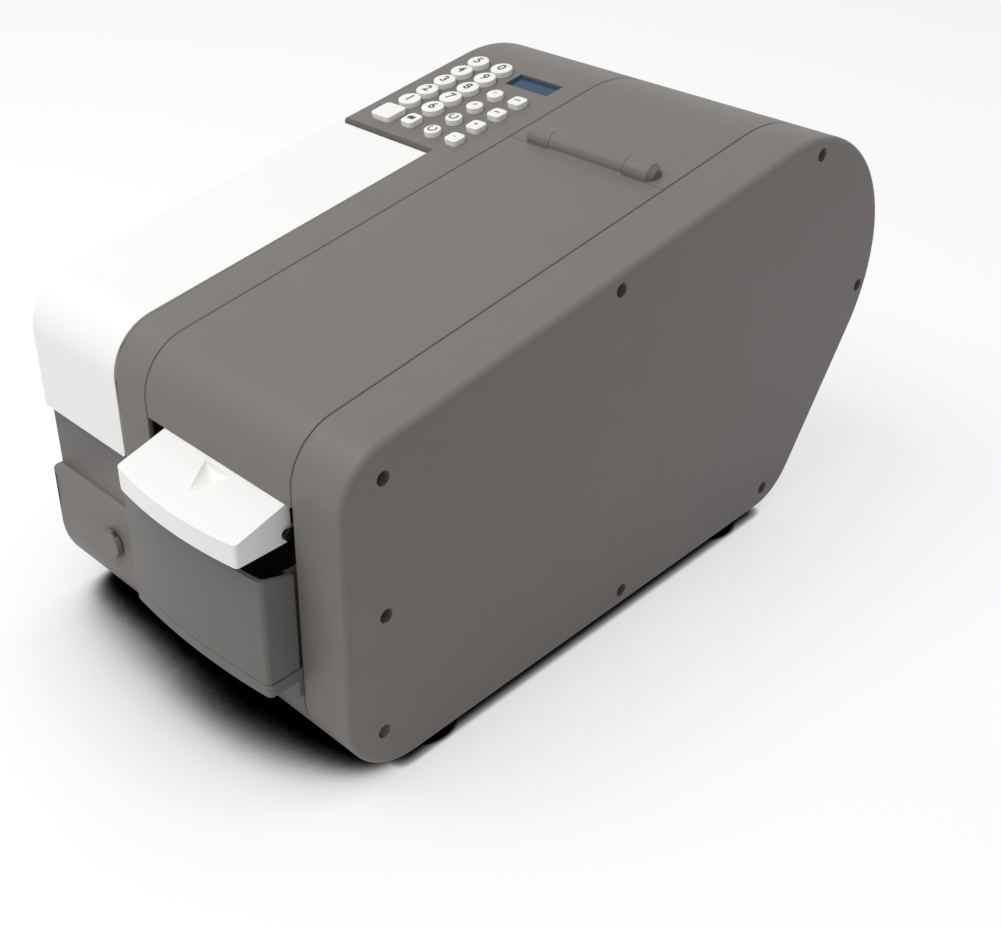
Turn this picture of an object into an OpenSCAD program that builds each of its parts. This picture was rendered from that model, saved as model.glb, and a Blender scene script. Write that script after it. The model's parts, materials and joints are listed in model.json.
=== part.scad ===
// Electronic gummed tape dispenser with a keypad, a hinged lid and a pull-out water tank.
// Millimetres. X runs across (+X is the operator's right), Y to the back, Z up from the counter.
// The origin is on the counter, under the middle of the whole outline.

/* [Body] */
// Width of the bottle bay under the white cover
bay_w = 86; // [80:1:100]
// Step of the upper left mouldings inside the lower cover's side
side_step = 1.2; // [0.8:0.1:2]
// Height of the virtual top front corner above the covers' bottom
front_h = 217; // [210:1:230]
// Rise of the top towards the back, in degrees
top_slope = 8.6; // [6:0.1:10]
// Radius of the top front corner
front_r = 34; // [25:1:40]
// Radius of the bottom front corner
toe_r = 48; // [40:1:55]
// Distance of the roll housing's centre behind the front
roll_y = 390.5; // [370:0.5:410]
// Outer radius of the roll housing at the back
roll_r = 107; // [100:1:112]
// Lean of the back below the roll housing, in degrees from upright
back_lean = 31; // [25:1:35]
// Radius of the bottom rear corner
heel_r = 42; // [30:1:48]
// Wall thickness of the plastic covers
wall = 3; // [2.5:0.1:3.5]
// Height of the rubber feet
foot_h = 8; // [6:1:12]
// Radius of a rubber foot
foot_r = 12; // [10:1:14]
// Distance of the feet inside the body's sides
foot_inset = 20; // [18:1:26]
// Distance of the front feet behind the front
foot_front_y = 75; // [68:1:90]
// Distance of the rear feet ahead of the bottom rear corner's centre
foot_heel = 30.7; // [28:0.1:50]
// Width of the right cover's rim
rim_w = 38.4; // [36:0.2:42]
// Width of the lid between the two side mouldings
lid_w = 125; // [124:0.5:126]
// Width of the grey strip left of the lid
strip_w = 29.4; // [28:0.2:32]

/* [Cover screws] */
// Radius of a screw's recess
recess_r = 4.4; // [4.2:0.1:5]
// Depth of a screw's recess
recess_d = 12; // [8:1:16]
// Radius of a screw head
screw_head_r = 4; // [3.5:0.1:4.2]
// Height of a screw head
screw_head_h = 3; // [2:0.5:4]
// Radius of a screw's shank
screw_r = 2; // [1.5:0.1:2.2]
// Radius of the bosses inside the covers
boss_r = 6.5; // [6:0.5:7]
// Places of the top screws, as shares of the roll's distance
top_screw_shares = [1.03969, 0.53777];
// Drops of the top screws under the sloped top
top_screw_drops = [15.4, 9.8];
// Distance of the front screws behind the front
front_screw_y = 28; // [26:0.5:32]
// Heights of the front screws, as shares of the front's height
front_screw_shares = [0.92627, 0.52304];
// Depth of the rear screw inside the roll housing's face
rear_screw_in = 12; // [11:0.5:20]
// Direction of the rear screw from the roll's centre, in degrees
rear_screw_turn = -13.3; // [-20:0.1:0]
// Places of the low screws, as shares of the roll's distance
low_screw_shares = [1.01152, 0.60307, 0.06274];
// Rises of the low screws over the base pan
low_screw_up = [10.7, 7.7, 27.2];
// Places of the left side's posts, as shares of the roll's distance
post_shares = [0.76825, 0.76825, 1.10115, 0.15365, 0.15365];
// Heights of the left side's posts, as shares of the front's height
post_height_shares = [0.50691, 1.08295, 0.73733, 0.87558, 0.50691];

/* [Lid and hinge] */
// Distance of the lid's rear edge behind the front
lid_rear_y = 295.5; // [293:0.5:298]
// Height of the lid's front, from the virtual top corner down to its lower edge
lid_front_h = 39.5; // [37:0.5:41]
// Radius of the hinge barrel
barrel_r = 7.6; // [7:0.1:8]
// Height of the hinge axis over the top surface
barrel_rise = 1; // [0.5:0.1:2]
// Distance of the hinge axis behind the lid's rear edge
barrel_back = 7.8; // [7.6:0.1:8.2]
// Length of the lid's own knuckle
mid_knuckle = 59.4; // [50:0.2:64]
// Length of each end knuckle
end_knuckle = 21; // [18:0.5:24]
// Chamfer on the hinge barrel's ends
barrel_chamfer = 3.5; // [2:0.5:4]
// Radius of the hinge pin
hinge_pin_r = 2; // [1.5:0.1:2.5]
// Depth of the lid's stiffening ribs
rib_h = 5; // [3:0.5:6]
// Thickness of a stiffening rib
rib_t = 2; // [1.5:0.5:3]

/* [Left side] */
// Height of the left lower cover's top
lower_h = 93; // [90:1:96]
// How far the left lower cover stands proud of the upper mouldings
lower_proud = 2; // [1:0.5:2]
// Radius of the left lower cover's top edge
lower_edge_r = 6; // [4:1:8]
// Inset of the bottle bay's walls behind the covers' face
bay_inset = 3; // [3:0.2:4]
// How far the bottle bay's walls reach up behind the white cover
bay_lap = 14; // [10:1:20]
// Height of the white bottle cover, from the virtual top corner down
bottle_cover_h = 81; // [78:1:83]
// Wall thickness of the white bottle cover
bottle_cover_t = 2.4; // [2:0.1:2.6]
// Distance of the keypad deck's front wall behind the front
deck_y = 255.7; // [250:0.5:260]
// Radius of the bottle cover's rounded rear edge, round its hinge
bead_r = 6; // [5:0.5:7]
// Radius of the bottle cover's hinge stubs
stub_r = 1.5; // [1.2:0.1:2]
// Radius of the front knob
knob_r = 9.5; // [8:0.5:12]
// How far the front knob stands out
knob_out = 4; // [3:0.5:5]
// Radius of the front knob's spindle
spindle_r = 4; // [3:0.5:5]
// Distance of the front knob from the left side
knob_inset = 62.5; // [50:0.5:70]
// Height of the front knob's centre
knob_z = 62; // [58:1:66]

/* [Water bottle] */
// Gap between the bottle and the bay's side walls
bottle_gap = 7; // [5:1:10]
// Length of the bottle
bottle_l = 175; // [160:5:180]
// Room over the bottle, up to the virtual top front corner
bottle_head = 24.7; // [20:0.1:30]
// Radius of the bottle's corners
bottle_round = 14; // [10:1:16]
// Radius of the bottle's neck
neck_r = 14; // [12:1:18]
// Length of the bottle's neck
neck_h = 18; // [14:1:20]

/* [Keypad] */
// Diameter of a number key
number_d = 15.5; // [14:0.1:15.6]
// Distance between number keys
number_pitch = 17; // [17:0.5:18]
// Diameter of a small round key
small_d = 11.5; // [10:0.5:13]
// Side of a square key
square_s = 11.2; // [10:0.2:13]
// Distance between small keys
small_pitch = 20; // [19:0.5:21]
// Side of the start key
start_s = 18; // [16:0.5:18]
// Size of the tape feed key across
feed_key_x = 11; // [10:0.5:12]
// Size of the tape feed key along
feed_key_y = 13; // [12:0.5:14]
// Corner radius of the square keys
key_round = 3; // [2:0.5:4]
// Height of a key above the deck
key_up = 4.2; // [3:0.2:5]
// Travel of a key
key_travel = 1.5; // [1:0.1:2]
// How far a key's flange stands out under the deck
flange_out = 0.4; // [0.3:0.1:0.5]
// Thickness of a key's flange
flange_t = 1; // [0.8:0.1:1.2]
// Gap round a key in the deck
key_gap = 0.25; // [0.2:0.05:0.35]
// Places of the key columns from the left side, from the outer one in
key_inset = [26, 48.4, 71.7, 92.1];
// Distance of the first number keys behind the deck's front wall
number_back = 38.3; // [36.5:0.1:40]
// Distance of the start key behind the deck's front wall
start_back = 18.3; // [16:0.1:19]
// Distance of the first small keys behind the deck's front wall
small_back = 14.8; // [13.5:0.1:17]
// Width of the display window
lcd_w = 38; // [36:1:40]
// Length of the display window
lcd_l = 17; // [15:1:18]
// Distance of the display window's middle from the left side
lcd_inset = 80.5; // [78:0.5:84]
// Distance of the display window's middle behind the deck's front wall
lcd_back = 103.8; // [102:0.1:108]
// Depth of the display window under the deck
lcd_sunk = 2; // [1:0.5:2.5]
// Thickness of a circuit board
board_t = 1.6; // [1.2:0.2:2]
// Height of the room between the deck and the keypad's board
deck_gap = 6; // [5:0.5:7]
// Radius of the posts under the deck
board_post_r = 3; // [2:0.5:3]
// Gap between the keys and the posts of their board
board_post_gap = 2; // [1:0.5:3]
// Length of the keypad's board behind the display's middle
board_back = 19.5; // [18:0.5:22]
// Gap between the keypad's board and the deck's front wall
board_front_gap = 2.3; // [1:0.1:3]

/* [Tape exit] */
// Gap between the exit cover's ends and the side plates
exit_end_gap = 1; // [0.6:0.1:1.5]
// Front reach of the exit cover at its corners
exit_reach = 33; // [30:1:36]
// Bow of the exit cover's front
exit_bow = 4.5; // [2:0.5:6]
// Drop of the exit cover's front top edge under the lid
exit_drop = 9.5; // [8:0.5:11]
// Depth of the exit cover's underside under the lid
exit_deep = 24; // [23:0.5:24.5]
// Height of the exit cover's hinge pin over its underside
exit_pin_up = 5.3; // [5:0.1:6]
// Radius of the exit cover's hinge pin
exit_pin_r = 2; // [1.5:0.1:2.5]
// Radius of the notch round the pin at the cover's ends
exit_notch_r = 3.4; // [3:0.1:4]
// Wall of the side plate's ear round the pin
ear_wall = 1.2; // [1:0.1:1.3]
// Length of the finger groove in the exit cover
scoop_l = 19.5; // [16:0.5:22]
// Distance of the finger groove in front of the lid
scoop_back = 2.5; // [2:0.5:4]
// Half angle of the cone that shapes the finger groove, in degrees
scoop_angle = 29.5; // [22:0.5:35]
// Radius of that cone at the groove's front end
scoop_tip_r = 2; // [1:0.5:3]

/* [Water tank] */
// Front reach of the tank at its corners
tank_reach = 22.6; // [20:0.2:24]
// Bow of the tank's front
tank_bow = 4; // [2:0.5:5]
// Height of the tank's bottom
tank_z = 70; // [68:1:72]
// Gap between the tank's front lip and the exit cover's underside
exit_gap = 12.5; // [10.5:0.5:15.5]
// Drop of the tank's side walls from the lip to the covers
tank_side_drop = 6.2; // [4:0.2:8]
// Depth of the tank's tub behind the front
tub_y = 84; // [80:1:86]
// Wall thickness of the tank
tank_t = 2.5; // [2:0.1:3]
// Thickness of the shelf that carries the tank
shelf_t = 8.5; // [7:0.5:10]
// Thickness of a brush
brush_t = 12; // [10:1:14]
// Places of the brushes behind the front, as shares of the tub's depth
brush_shares = [0.40476, 0.69048];
// Height of the brushes' wooden backs
brush_back_h = 40; // [30:1:50]

/* [Frame] */
// Distance of the left side plate's face from the lid's left edge
channel_left = 15.4; // [14:0.1:18]
// Distance of the right side plate's face from the lid's right edge
channel_right = 4.6; // [4:0.1:6]
// Thickness of the side plates
plate_t = 2; // [1.5:0.5:2.5]
// Gap between the covers' face and the side plates' edge
plate_inset = 6; // [6:0.5:7]
// Thickness of the base pan
pan_t = 2; // [1.5:0.5:2]
// Distance of the base pan's front edge behind the front
pan_front_y = 52; // [52:1:58]
// Distance of the base pan's rear edge ahead of the bottom rear corner's centre
pan_heel = 6.7; // [5:0.1:14]
// Gap between the base pan's ends and the side covers
pan_end_gap = 6; // [5:1:8]

/* [Tape drive] */
// Gap between the tape's path and the exit cover
tape_gap = 1.5; // [1:0.1:1.5]
// Distance of the rollers behind the moving blade
roller_back = 37.5; // [34:0.5:42]
// Radius of the feed roller
feed_r = 14; // [12:0.5:15]
// Radius of the pressure roller
press_r = 10; // [9:0.5:12]
// Radius of the feed roller's shaft
shaft_r = 4; // [3:0.5:4]
// Radius of the pressure roller's and roll rollers' shafts
thin_shaft_r = 3; // [2.5:0.5:3]
// Radius of the pulley on the feed roller
pulley_r = 12; // [10:0.5:13]
// Radius of the pulley on the motor
motor_pulley_r = 8; // [7:0.5:9]
// Width of a pulley
pulley_w = 5; // [4:0.5:6]
// Distance of the motor behind the rollers
motor_back = 40; // [38:1:44]
// Drop of the motor under the feed roller
motor_drop = 25.85; // [22:0.05:30]
// Radius of the motor's shaft
motor_shaft_r = 2.5; // [2:0.5:3]
// Radius of the motor
motor_r = 18; // [15:1:20]
// Gap between the motor's end and the right cover
motor_gap = 3; // [1:0.5:8]
// Radius of the motor's flange
flange_r = 26; // [24:1:28]
// Thickness of the drive belt
belt_t = 1.5; // [1:0.1:2]
// Thickness of the tape guide
guide_t = 2; // [1.5:0.5:2.5]
// Distance of the tape guide behind the rollers
guide_back = 19; // [17:1:22]
// Drop of the tape guide's front edge under the tape's path
guide_drop = 3; // [3:0.5:5]
// Length of the tape guide
guide_l = 130; // [120:1:135]
// Rise of the tape guide over its length
guide_rise = 23; // [18:1:26]
// Radius of the rollers under the tape roll
roll_roller_r = 9; // [8:0.5:9]
// Distance of the roll rollers from the roll's middle, front and back
roll_roller_y = 52; // [45:1:52]
// Distance of the roll rollers under the roll's middle
roll_roller_drop = 90; // [88:1:92]

/* [Cutter] */
// Distance of the moving blade behind the tank's tub
blade_back = 13.5; // [12.5:0.5:14]
// Thickness of the moving blade
blade_t = 3; // [2:0.2:3]
// Height of the moving blade
blade_h = 30; // [24:1:34]
// Gap between the tape's path and the moving blade at rest
blade_gap = 1.5; // [1:0.1:2]
// Thickness of the fixed blade
anvil_t = 4; // [3:0.5:5]
// Height of the fixed blade
anvil_h = 15; // [12:1:18]
// Width of the cutter's solenoid across
solenoid_w = 30; // [26:1:34]
// Length of the cutter's solenoid front to back
solenoid_l = 24; // [22:1:26]
// Height of the cutter's solenoid
solenoid_h = 50; // [40:1:50]
// Depth of the solenoid's foot under the plunger
solenoid_drop = 33; // [8:1:40]
// Radius of the solenoid's plunger
plunger_r = 3; // [2.5:0.5:4]
// Size of the heater plate front to back
heater_l = 58; // [50:1:60]
// Thickness of the heater plate
heater_t = 7; // [5:0.5:8]
// Gap between the tape's path and the heater plate
heater_gap = 2; // [1.5:0.5:3]

/* [Electrics] */
// Width and length of the main circuit board
main_board_size = [68, 130];
// Distance of the main circuit board from the left side
main_board_inset = 10; // [8:1:12]
// Distance of the main circuit board behind the front
main_board_y = 105; // [95:1:115]
// Height of the main circuit board above the base pan
main_board_up = 22; // [15:1:30]
// Width, length and height of the power supply
supply_size = [62, 78, 42];
// Distance of the power supply from the left side
supply_inset = 36; // [34:1:40]
// Distance of the power supply's front ahead of the bottom rear corner's centre
supply_heel = 122.7; // [115:0.1:130]
// Distance of the power inlet behind the bottom rear corner's centre
inlet_heel = 11.3; // [9:0.1:13]
// Height of the power inlet and the power switch
inlet_z = 48; // [46:0.5:52]
// Width and height of the power inlet's body
inlet_size = [27, 20];
// Depth of the power inlet's body
inlet_d = 24; // [20:1:26]
// Distance of the power switch ahead of the power inlet
switch_ahead = 40; // [38:1:50]
// Width and height of the power switch's body
switch_size = [20, 14];
// Depth of the power switch's body
switch_d = 16; // [14:1:18]
// Depth of the recess round the inlet and the switch
socket_sunk = 5; // [4:0.5:6]
// Overhang of the inlet's and the switch's flanges
socket_lip = 2; // [1.5:0.5:3]
// Thickness of the inlet's and the switch's flanges
lip_t = 2; // [1.5:0.5:3]

/* [Fits] */
// Gap between neighbouring covers
seam = 0.4; // [0.3:0.05:0.6]
// Gap between parts that slide or lie close
slide = 0.3; // [0.2:0.05:0.5]
// Radial clearance of a running bore
run = 0.08; // [0.05:0.01:0.1]
// Overrun of cuts through a face
over = 1; // [0.5:0.5:2]
// How far a straight run lies inside the arcs at its ends, so that they cross cleanly
tuck = 0.02; // [0.01:0.01:0.05]

/* [Hidden] */
$fn = 96;
body_w = side_step + bay_w + strip_w + lid_w + rim_w;
half_w = body_w / 2;
tan_top = tan(top_slope);
right_seam = half_w - rim_w;
left_seam = right_seam - lid_w;
strip_x = left_seam - strip_w;
upper_left = -half_w + side_step;
lid_mid = (right_seam + left_seam) / 2;
roll_z = front_h + roll_y * tan_top - roll_r / cos(top_slope);
front_cz = front_h + front_r * tan_top - front_r / cos(top_slope);
back_n = [cos(back_lean), -sin(back_lean)];
back_reach = back_n * [roll_y, roll_z] + roll_r;
heel_y = (back_reach - heel_r - back_n[1] * heel_r) / back_n[0];
length_back = roll_y + roll_r;
length_front = exit_reach + exit_bow;
plate_low = wall + slide + pan_t;
pin_y = lid_rear_y + barrel_back;
foot_x = half_w - foot_inset;
foot_rear_y = heel_y - foot_heel;
pan_rear_y = heel_y - pan_heel;
channel_x = [left_seam + channel_left, right_seam - channel_right];
exit_x = [channel_x[0] + exit_end_gap, channel_x[1] - exit_end_gap];
lid_low_z = front_h - lid_front_h;
exit_front_z = lid_low_z - exit_drop;
exit_low_z = lid_low_z - exit_deep;
exit_pin_z = exit_low_z + exit_pin_up;
tank_lip_z = exit_low_z - exit_gap;
tank_side_z = tank_lip_z - tank_side_drop;
tape_z = exit_low_z - tape_gap;
blade_y = tub_y + blade_back;
roller_y = blade_y + roller_back;
feed_z = tape_z - slide / 2 - feed_r;
press_z = tape_z + slide / 2 + press_r;
belt_x = channel_x[1] + 2 * plate_t;
motor_at = [roller_y + motor_back, feed_z - motor_drop];
flange_x = belt_x + plate_t + pulley_w;
motor_l = half_w - wall - motor_gap - flange_x;
guide_from = [roller_y + guide_back, tape_z - guide_drop];
guide_to = guide_from + [guide_l, guide_rise];
brush_y = [for (s = brush_shares) s * tub_y];
bottle_cover_z = front_h - bottle_cover_h;
bay_h = bottle_cover_z + bay_lap;
bottle_w = bay_w - bay_inset - wall - 2 * bottle_gap;
bottle_h = front_h - lower_h - slide - wall - neck_h - bottle_head;
bead_y = deck_y - 2 * seam - bead_r;
bead_z = front_h + bead_y * tan_top - (bead_r + seam) / cos(top_slope);
bead_x = [upper_left + bottle_cover_t + 2 * seam + wall, strip_x - 2 * seam - wall];
neck_at = [(upper_left + bay_inset + strip_x) / 2, bay_inset + 2 * wall + bottle_l / 4];
knob_x = knob_inset - half_w;
key_x = [for (v = key_inset) v - half_w];
number_y = deck_y + number_back;
start_y = deck_y + start_back;
small_y = deck_y + small_back;
lcd_at = [lcd_inset - half_w, deck_y + lcd_back];
board_x = [key_x[0] - start_s / 2 - board_post_gap - 2 * board_post_r,
    key_x[3] + square_s / 2 + board_post_gap + 2 * board_post_r];
board_y = [deck_y + wall + board_front_gap, lcd_at[1] + board_back];
stem_low = deck_gap + wall - key_travel - slide;
main_board_at = [main_board_inset - half_w, main_board_y];
supply_at = [supply_inset - half_w, heel_y - supply_heel];
socket_face = socket_sunk - lip_t - half_w;
inlet_at = [heel_y + inlet_heel, inlet_z];
switch_at = [inlet_at[0] - switch_ahead, inlet_z];
screw_places = concat(
    [for (i = [0, 1]) [top_screw_shares[i] * roll_y,
        front_h + top_screw_shares[i] * roll_y * tan_top - top_screw_drops[i]]],
    [for (v = front_screw_shares) [front_screw_y, v * front_h]],
    [[roll_y + (roll_r - rear_screw_in) * cos(rear_screw_turn),
        roll_z + (roll_r - rear_screw_in) * sin(rear_screw_turn)]],
    [for (i = [0:2]) [low_screw_shares[i] * roll_y, plate_low + low_screw_up[i]]]);
posts = [for (i = [0:4]) [post_shares[i] * roll_y, post_height_shares[i] * front_h]];
body_depth = 2 * length_back;
body_tall = 2 * (roll_z + roll_r);
grey = "#7f7b77";
white = "#f2f2ef";
steel = "#b9bcc0";
black = "#26262a";
rubber_col = "#33302e";
board_col = "#2f6b45";
wood = "#a9825a";
glass_blue = "#41648a";
clear_col = "#dfe8ec";

// Height of the top surface at a distance y behind the front
function top_z(y) = front_h + y * tan_top;

// Point at radius r and angle a round a centre
function polar(c, r, a) = [c[0] + r * cos(a), c[1] + r * sin(a)];

// Moves the body's own frame to the counter frame
module place() {
    translate([0, (length_front - length_back) / 2, foot_h]) children();
}

// Extrudes an outline drawn as [Y, Z] from one X to another
module across(x0, x1) {
    translate([x0, 0, 0]) rotate([90, 0, 90]) linear_extrude(x1 - x0) children();
}

// A box given by its low and high corners
module block(lo, hi) {
    translate(lo) cube(hi - lo);
}

// A rod along X
module rod(x0, x1, y, z, r) {
    translate([x0, y, z]) rotate([0, 90, 0]) cylinder(h = x1 - x0, r = r);
}

// Puts a child on the sloped top, its Z square to the surface
module on_top(x, y) {
    translate([x, y, top_z(y)]) rotate([top_slope, 0, 0]) children();
}

// Side outline of the body, drawn inwards by t
module side_outline(t) {
    edge = t + tuck;
    polygon([[toe_r, edge], [edge, toe_r], [edge, front_cz],
        polar([front_r, front_cz], front_r - edge, 90 + top_slope),
        polar([roll_y, roll_z], roll_r - edge, 90 + top_slope),
        polar([roll_y, roll_z], roll_r - edge, -back_lean),
        polar([heel_y, heel_r], heel_r - edge, -back_lean), [heel_y, edge]]);
    translate([toe_r, toe_r]) circle(toe_r - t);
    translate([front_r, front_cz]) circle(front_r - t);
    translate([roll_y, roll_z]) circle(roll_r - t);
    translate([heel_y, heel_r]) circle(heel_r - t);
}

// Skin of the side outline, t thick
module side_skin(t) {
    difference() {
        side_outline(0);
        side_outline(t);
    }
}

// Half plane in front of y, or above z, as big rectangles
module front_of(y) {
    translate([y - body_depth, -body_tall]) square([body_depth, 2 * body_tall]);
}
module above(z) {
    translate([-body_depth, z]) square([2 * body_depth, body_tall]);
}

// Rounded rectangle about the middle
module rounded(w, l, r) {
    square([w - 2 * r, l], center = true);
    square([w, l - 2 * r], center = true);
    for (sx = [-1, 1], sy = [-1, 1])
        translate([sx * (w / 2 - r), sy * (l / 2 - r)]) circle(r);
}

// Plan of a front with a bow: x0 to x1, back at y1, corners at y0, bow deep at the middle
module bowed(x0, x1, y0, y1, bow) {
    half = (x1 - x0) / 2;
    bow_r = (half * half + bow * bow) / (2 * bow);
    intersection() {
        translate([x0, y0 - bow]) square([2 * half, y1 - y0 + bow]);
        translate([(x0 + x1) / 2, y0 - bow + bow_r]) circle(bow_r, $fn = 360);
    }
}

/* Frame */

module base_pan() {
    hole_r = foot_r / 3;
    color(steel) difference() {
        block([-half_w + pan_end_gap, pan_front_y, wall + slide],
            [half_w - pan_end_gap, pan_rear_y, plate_low]);
        for (x = [-foot_x, foot_x], y = [foot_front_y, foot_rear_y])
            translate([x, y, 0]) cylinder(h = 2 * plate_low, r = hole_r);
    }
}

module rubber_feet() {
    stem_r = foot_r / 3 - run;
    neck = foot_r / 2 - slide;
    color(rubber_col) for (sx = [-1, 1], y = [foot_front_y, foot_rear_y]) {
        low = sx < 0 ? lower_proud : 0;
        translate([sx * foot_x, y, -foot_h]) cylinder(h = foot_h - low, r1 = foot_r - 1, r2 = foot_r);
        translate([sx * foot_x, y, -low]) cylinder(h = wall + slide + low, r = neck);
        translate([sx * foot_x, y, 0]) cylinder(h = plate_low, r = stem_r);
    }
}

// A side plate from x, with the ear that carries the exit cover's pin
module frame_plate(x) {
    ear_r = exit_pin_r + ear_wall;
    end = x + plate_t;
    difference() {
        union() {
            intersection() {
                across(x, end) side_outline(plate_inset);
                block([x - over, -over, plate_low], [end + over, body_depth, body_tall]);
            }
            block([x, 0, exit_pin_z - ear_r], [end, 2 * plate_inset, exit_pin_z + ear_r]);
            rod(x, end, 0, exit_pin_z, ear_r);
        }
        rod(x - over, end + over, 0, exit_pin_z, exit_pin_r);
        rod(x - over, end + over, roller_y, feed_z, shaft_r + run);
        rod(x - over, end + over, roller_y, press_z, thin_shaft_r + run);
        for (s = [-1, 1])
            rod(x - over, end + over, roll_y + s * roll_roller_y, roll_z - roll_roller_drop,
                thin_shaft_r + run);
        for (p = screw_places) rod(x - over, end + over, p[0], p[1], screw_r);
    }
}

module right_frame_plate() {
    color(black) frame_plate(channel_x[1]);
}

module left_frame_plate() {
    color(black) frame_plate(channel_x[0] - plate_t);
}

/* Covers */

module right_cover() {
    boss_x = channel_x[1] + plate_t;
    seat_x = half_w - recess_d;
    color(grey) difference() {
        union() {
            difference() {
                across(right_seam, half_w) side_outline(0);
                across(right_seam - over, half_w - wall) side_outline(wall);
            }
            for (p = screw_places) rod(boss_x, half_w - wall / 2, p[0], p[1], boss_r);
        }
        for (p = screw_places) {
            rod(seat_x, half_w + over, p[0], p[1], recess_r);
            rod(boss_x - over, half_w, p[0], p[1], screw_r + run);
        }
        for (y = [foot_front_y, foot_rear_y])
            translate([foot_x, y, -over]) cylinder(h = wall + 2 * over, r = foot_r / 2);
    }
}

module cover_screws() {
    seat_x = half_w - recess_d;
    socket_r = screw_head_r / 2;
    color(steel) for (p = screw_places) difference() {
        union() {
            rod(seat_x, seat_x + screw_head_h, p[0], p[1], screw_head_r);
            rod(channel_x[1], seat_x, p[0], p[1], screw_r);
        }
        translate([seat_x + screw_head_h / 2, p[0], p[1]]) rotate([0, 90, 0])
            cylinder(h = screw_head_h, r = socket_r, $fn = 6);
    }
}

module front_base() {
    shelf_z = tank_z - shelf_t;
    tab_h = 12;
    color(grey) {
        across(left_seam + seam, right_seam - seam) intersection() {
            side_skin(wall);
            difference() {
                front_of(toe_r + wall);
                above(shelf_z);
            }
        }
        translate([0, 0, shelf_z]) linear_extrude(shelf_t) {
            bowed(left_seam + seam, right_seam - seam, -tank_reach, plate_inset - slide, tank_bow);
            translate([channel_x[0] + slide, 0])
                square([channel_x[1] - channel_x[0] - 2 * slide, tub_y + plate_inset]);
        }
        block([right_seam - seam - rib_t, -wall, shelf_z - tab_h], [right_seam - seam, wall, shelf_z]);
    }
}

module rear_cover() {
    mid0 = lid_mid - mid_knuckle / 2;
    mid1 = lid_mid + mid_knuckle / 2;
    axis_z = top_z(pin_y) + barrel_rise / cos(top_slope);
    floor_y = pan_rear_y - 2 * foot_r;
    web_z = top_z(lid_rear_y);
    color(grey) difference() {
        union() {
            across(left_seam + seam, right_seam - seam) difference() {
                side_skin(wall);
                front_of(lid_rear_y);
                translate([0, -over]) square([floor_y, 2 * wall]);
            }
            for (s = [0, 1]) mirrored_knuckle(s, axis_z);
        }
        block([mid0 - slide, lid_rear_y - over, web_z - 2 * wall], [mid1 + slide, pin_y, web_z + 2 * wall]);
        rod(mid0 - slide, mid1 + slide, pin_y, axis_z, barrel_r + seam);
        rod(mid0 - end_knuckle + barrel_chamfer, mid1 + end_knuckle - barrel_chamfer, pin_y, axis_z,
            hinge_pin_r);
    }
}

// One of the rear cover's two knuckles, its outer end chamfered
module mirrored_knuckle(side, axis_z) {
    start = lid_mid + mid_knuckle / 2 + slide;
    long = end_knuckle - barrel_chamfer;
    translate([side * 2 * lid_mid, 0, 0]) mirror([side, 0, 0]) {
        rod(start, start + long, pin_y, axis_z, barrel_r);
        translate([start + long, pin_y, axis_z]) rotate([0, 90, 0])
            cylinder(h = barrel_chamfer, r1 = barrel_r, r2 = barrel_r - barrel_chamfer);
    }
}

module hinge_pin() {
    axis_z = top_z(pin_y) + barrel_rise / cos(top_slope);
    reach = mid_knuckle / 2 + end_knuckle - barrel_chamfer;
    color(steel) rod(lid_mid - reach, lid_mid + reach, pin_y, axis_z, hinge_pin_r);
}

module lid() {
    axis_z = top_z(pin_y) + barrel_rise / cos(top_slope);
    rib_from = front_r;
    rib_to = lid_rear_y - barrel_back - barrel_r;
    edge = lid_rear_y - seam;
    color(grey) difference() {
        union() {
            across(left_seam + seam, right_seam - seam) intersection() {
                side_skin(wall);
                front_of(edge);
                above(lid_low_z);
            }
            rod(lid_mid - mid_knuckle / 2, lid_mid + mid_knuckle / 2, pin_y, axis_z, barrel_r);
            across(lid_mid - mid_knuckle / 2, lid_mid + mid_knuckle / 2)
                polygon([[edge - wall, top_z(edge - wall) - wall], [edge - wall, top_z(edge - wall)],
                    [pin_y, top_z(pin_y)], [pin_y, top_z(pin_y) - wall]]);
            for (s = [-1, 1]) across(lid_mid + s * lid_w / 4, lid_mid + s * lid_w / 4 + rib_t)
                polygon([[rib_from, top_z(rib_from) - wall / 2], [rib_to, top_z(rib_to) - wall / 2],
                    [rib_to, top_z(rib_to) - wall - rib_h], [rib_from, top_z(rib_from) - wall - rib_h]]);
        }
        rod(lid_mid - mid_knuckle, lid_mid + mid_knuckle, pin_y, axis_z, hinge_pin_r + run);
    }
}

/* Left side */

// Hole under a key: what the key is on the deck, grown by a gap
module key_holes() {
    gap = key_gap;
    for (i = [0:4]) {
        on_top(key_x[0], number_y + i * number_pitch) drill(number_d / 2 + gap);
        on_top(key_x[1], number_y + i * number_pitch) drill(number_d / 2 + gap);
    }
    for (i = [0:3]) {
        on_top(key_x[2], small_y + i * small_pitch) drill(small_d / 2 + gap);
        on_top(key_x[3], small_y + i * small_pitch) drill_square(square_s + 2 * gap, square_s + 2 * gap);
    }
    on_top(key_x[0], start_y) drill_square(start_s + 2 * gap, start_s + 2 * gap);
    on_top(key_x[1], start_y) drill_square(feed_key_x + 2 * gap, feed_key_y + 2 * gap);
}
module drill(r) {
    translate([0, 0, -2 * wall]) cylinder(h = 3 * wall, r = r);
}
module drill_square(w, l) {
    translate([0, 0, -2 * wall]) linear_extrude(3 * wall) rounded(w, l, key_round);
}

// Posts under the deck that carry the keypad's circuit board
module board_posts(top, low) {
    for (x = [board_x[0] + board_post_r, board_x[1] - board_post_r])
        for (y = [board_y[0] + board_post_r, board_y[1] - board_post_r])
            on_top(x, y) translate([0, 0, low]) cylinder(h = top - low, r = board_post_r);
}

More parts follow.
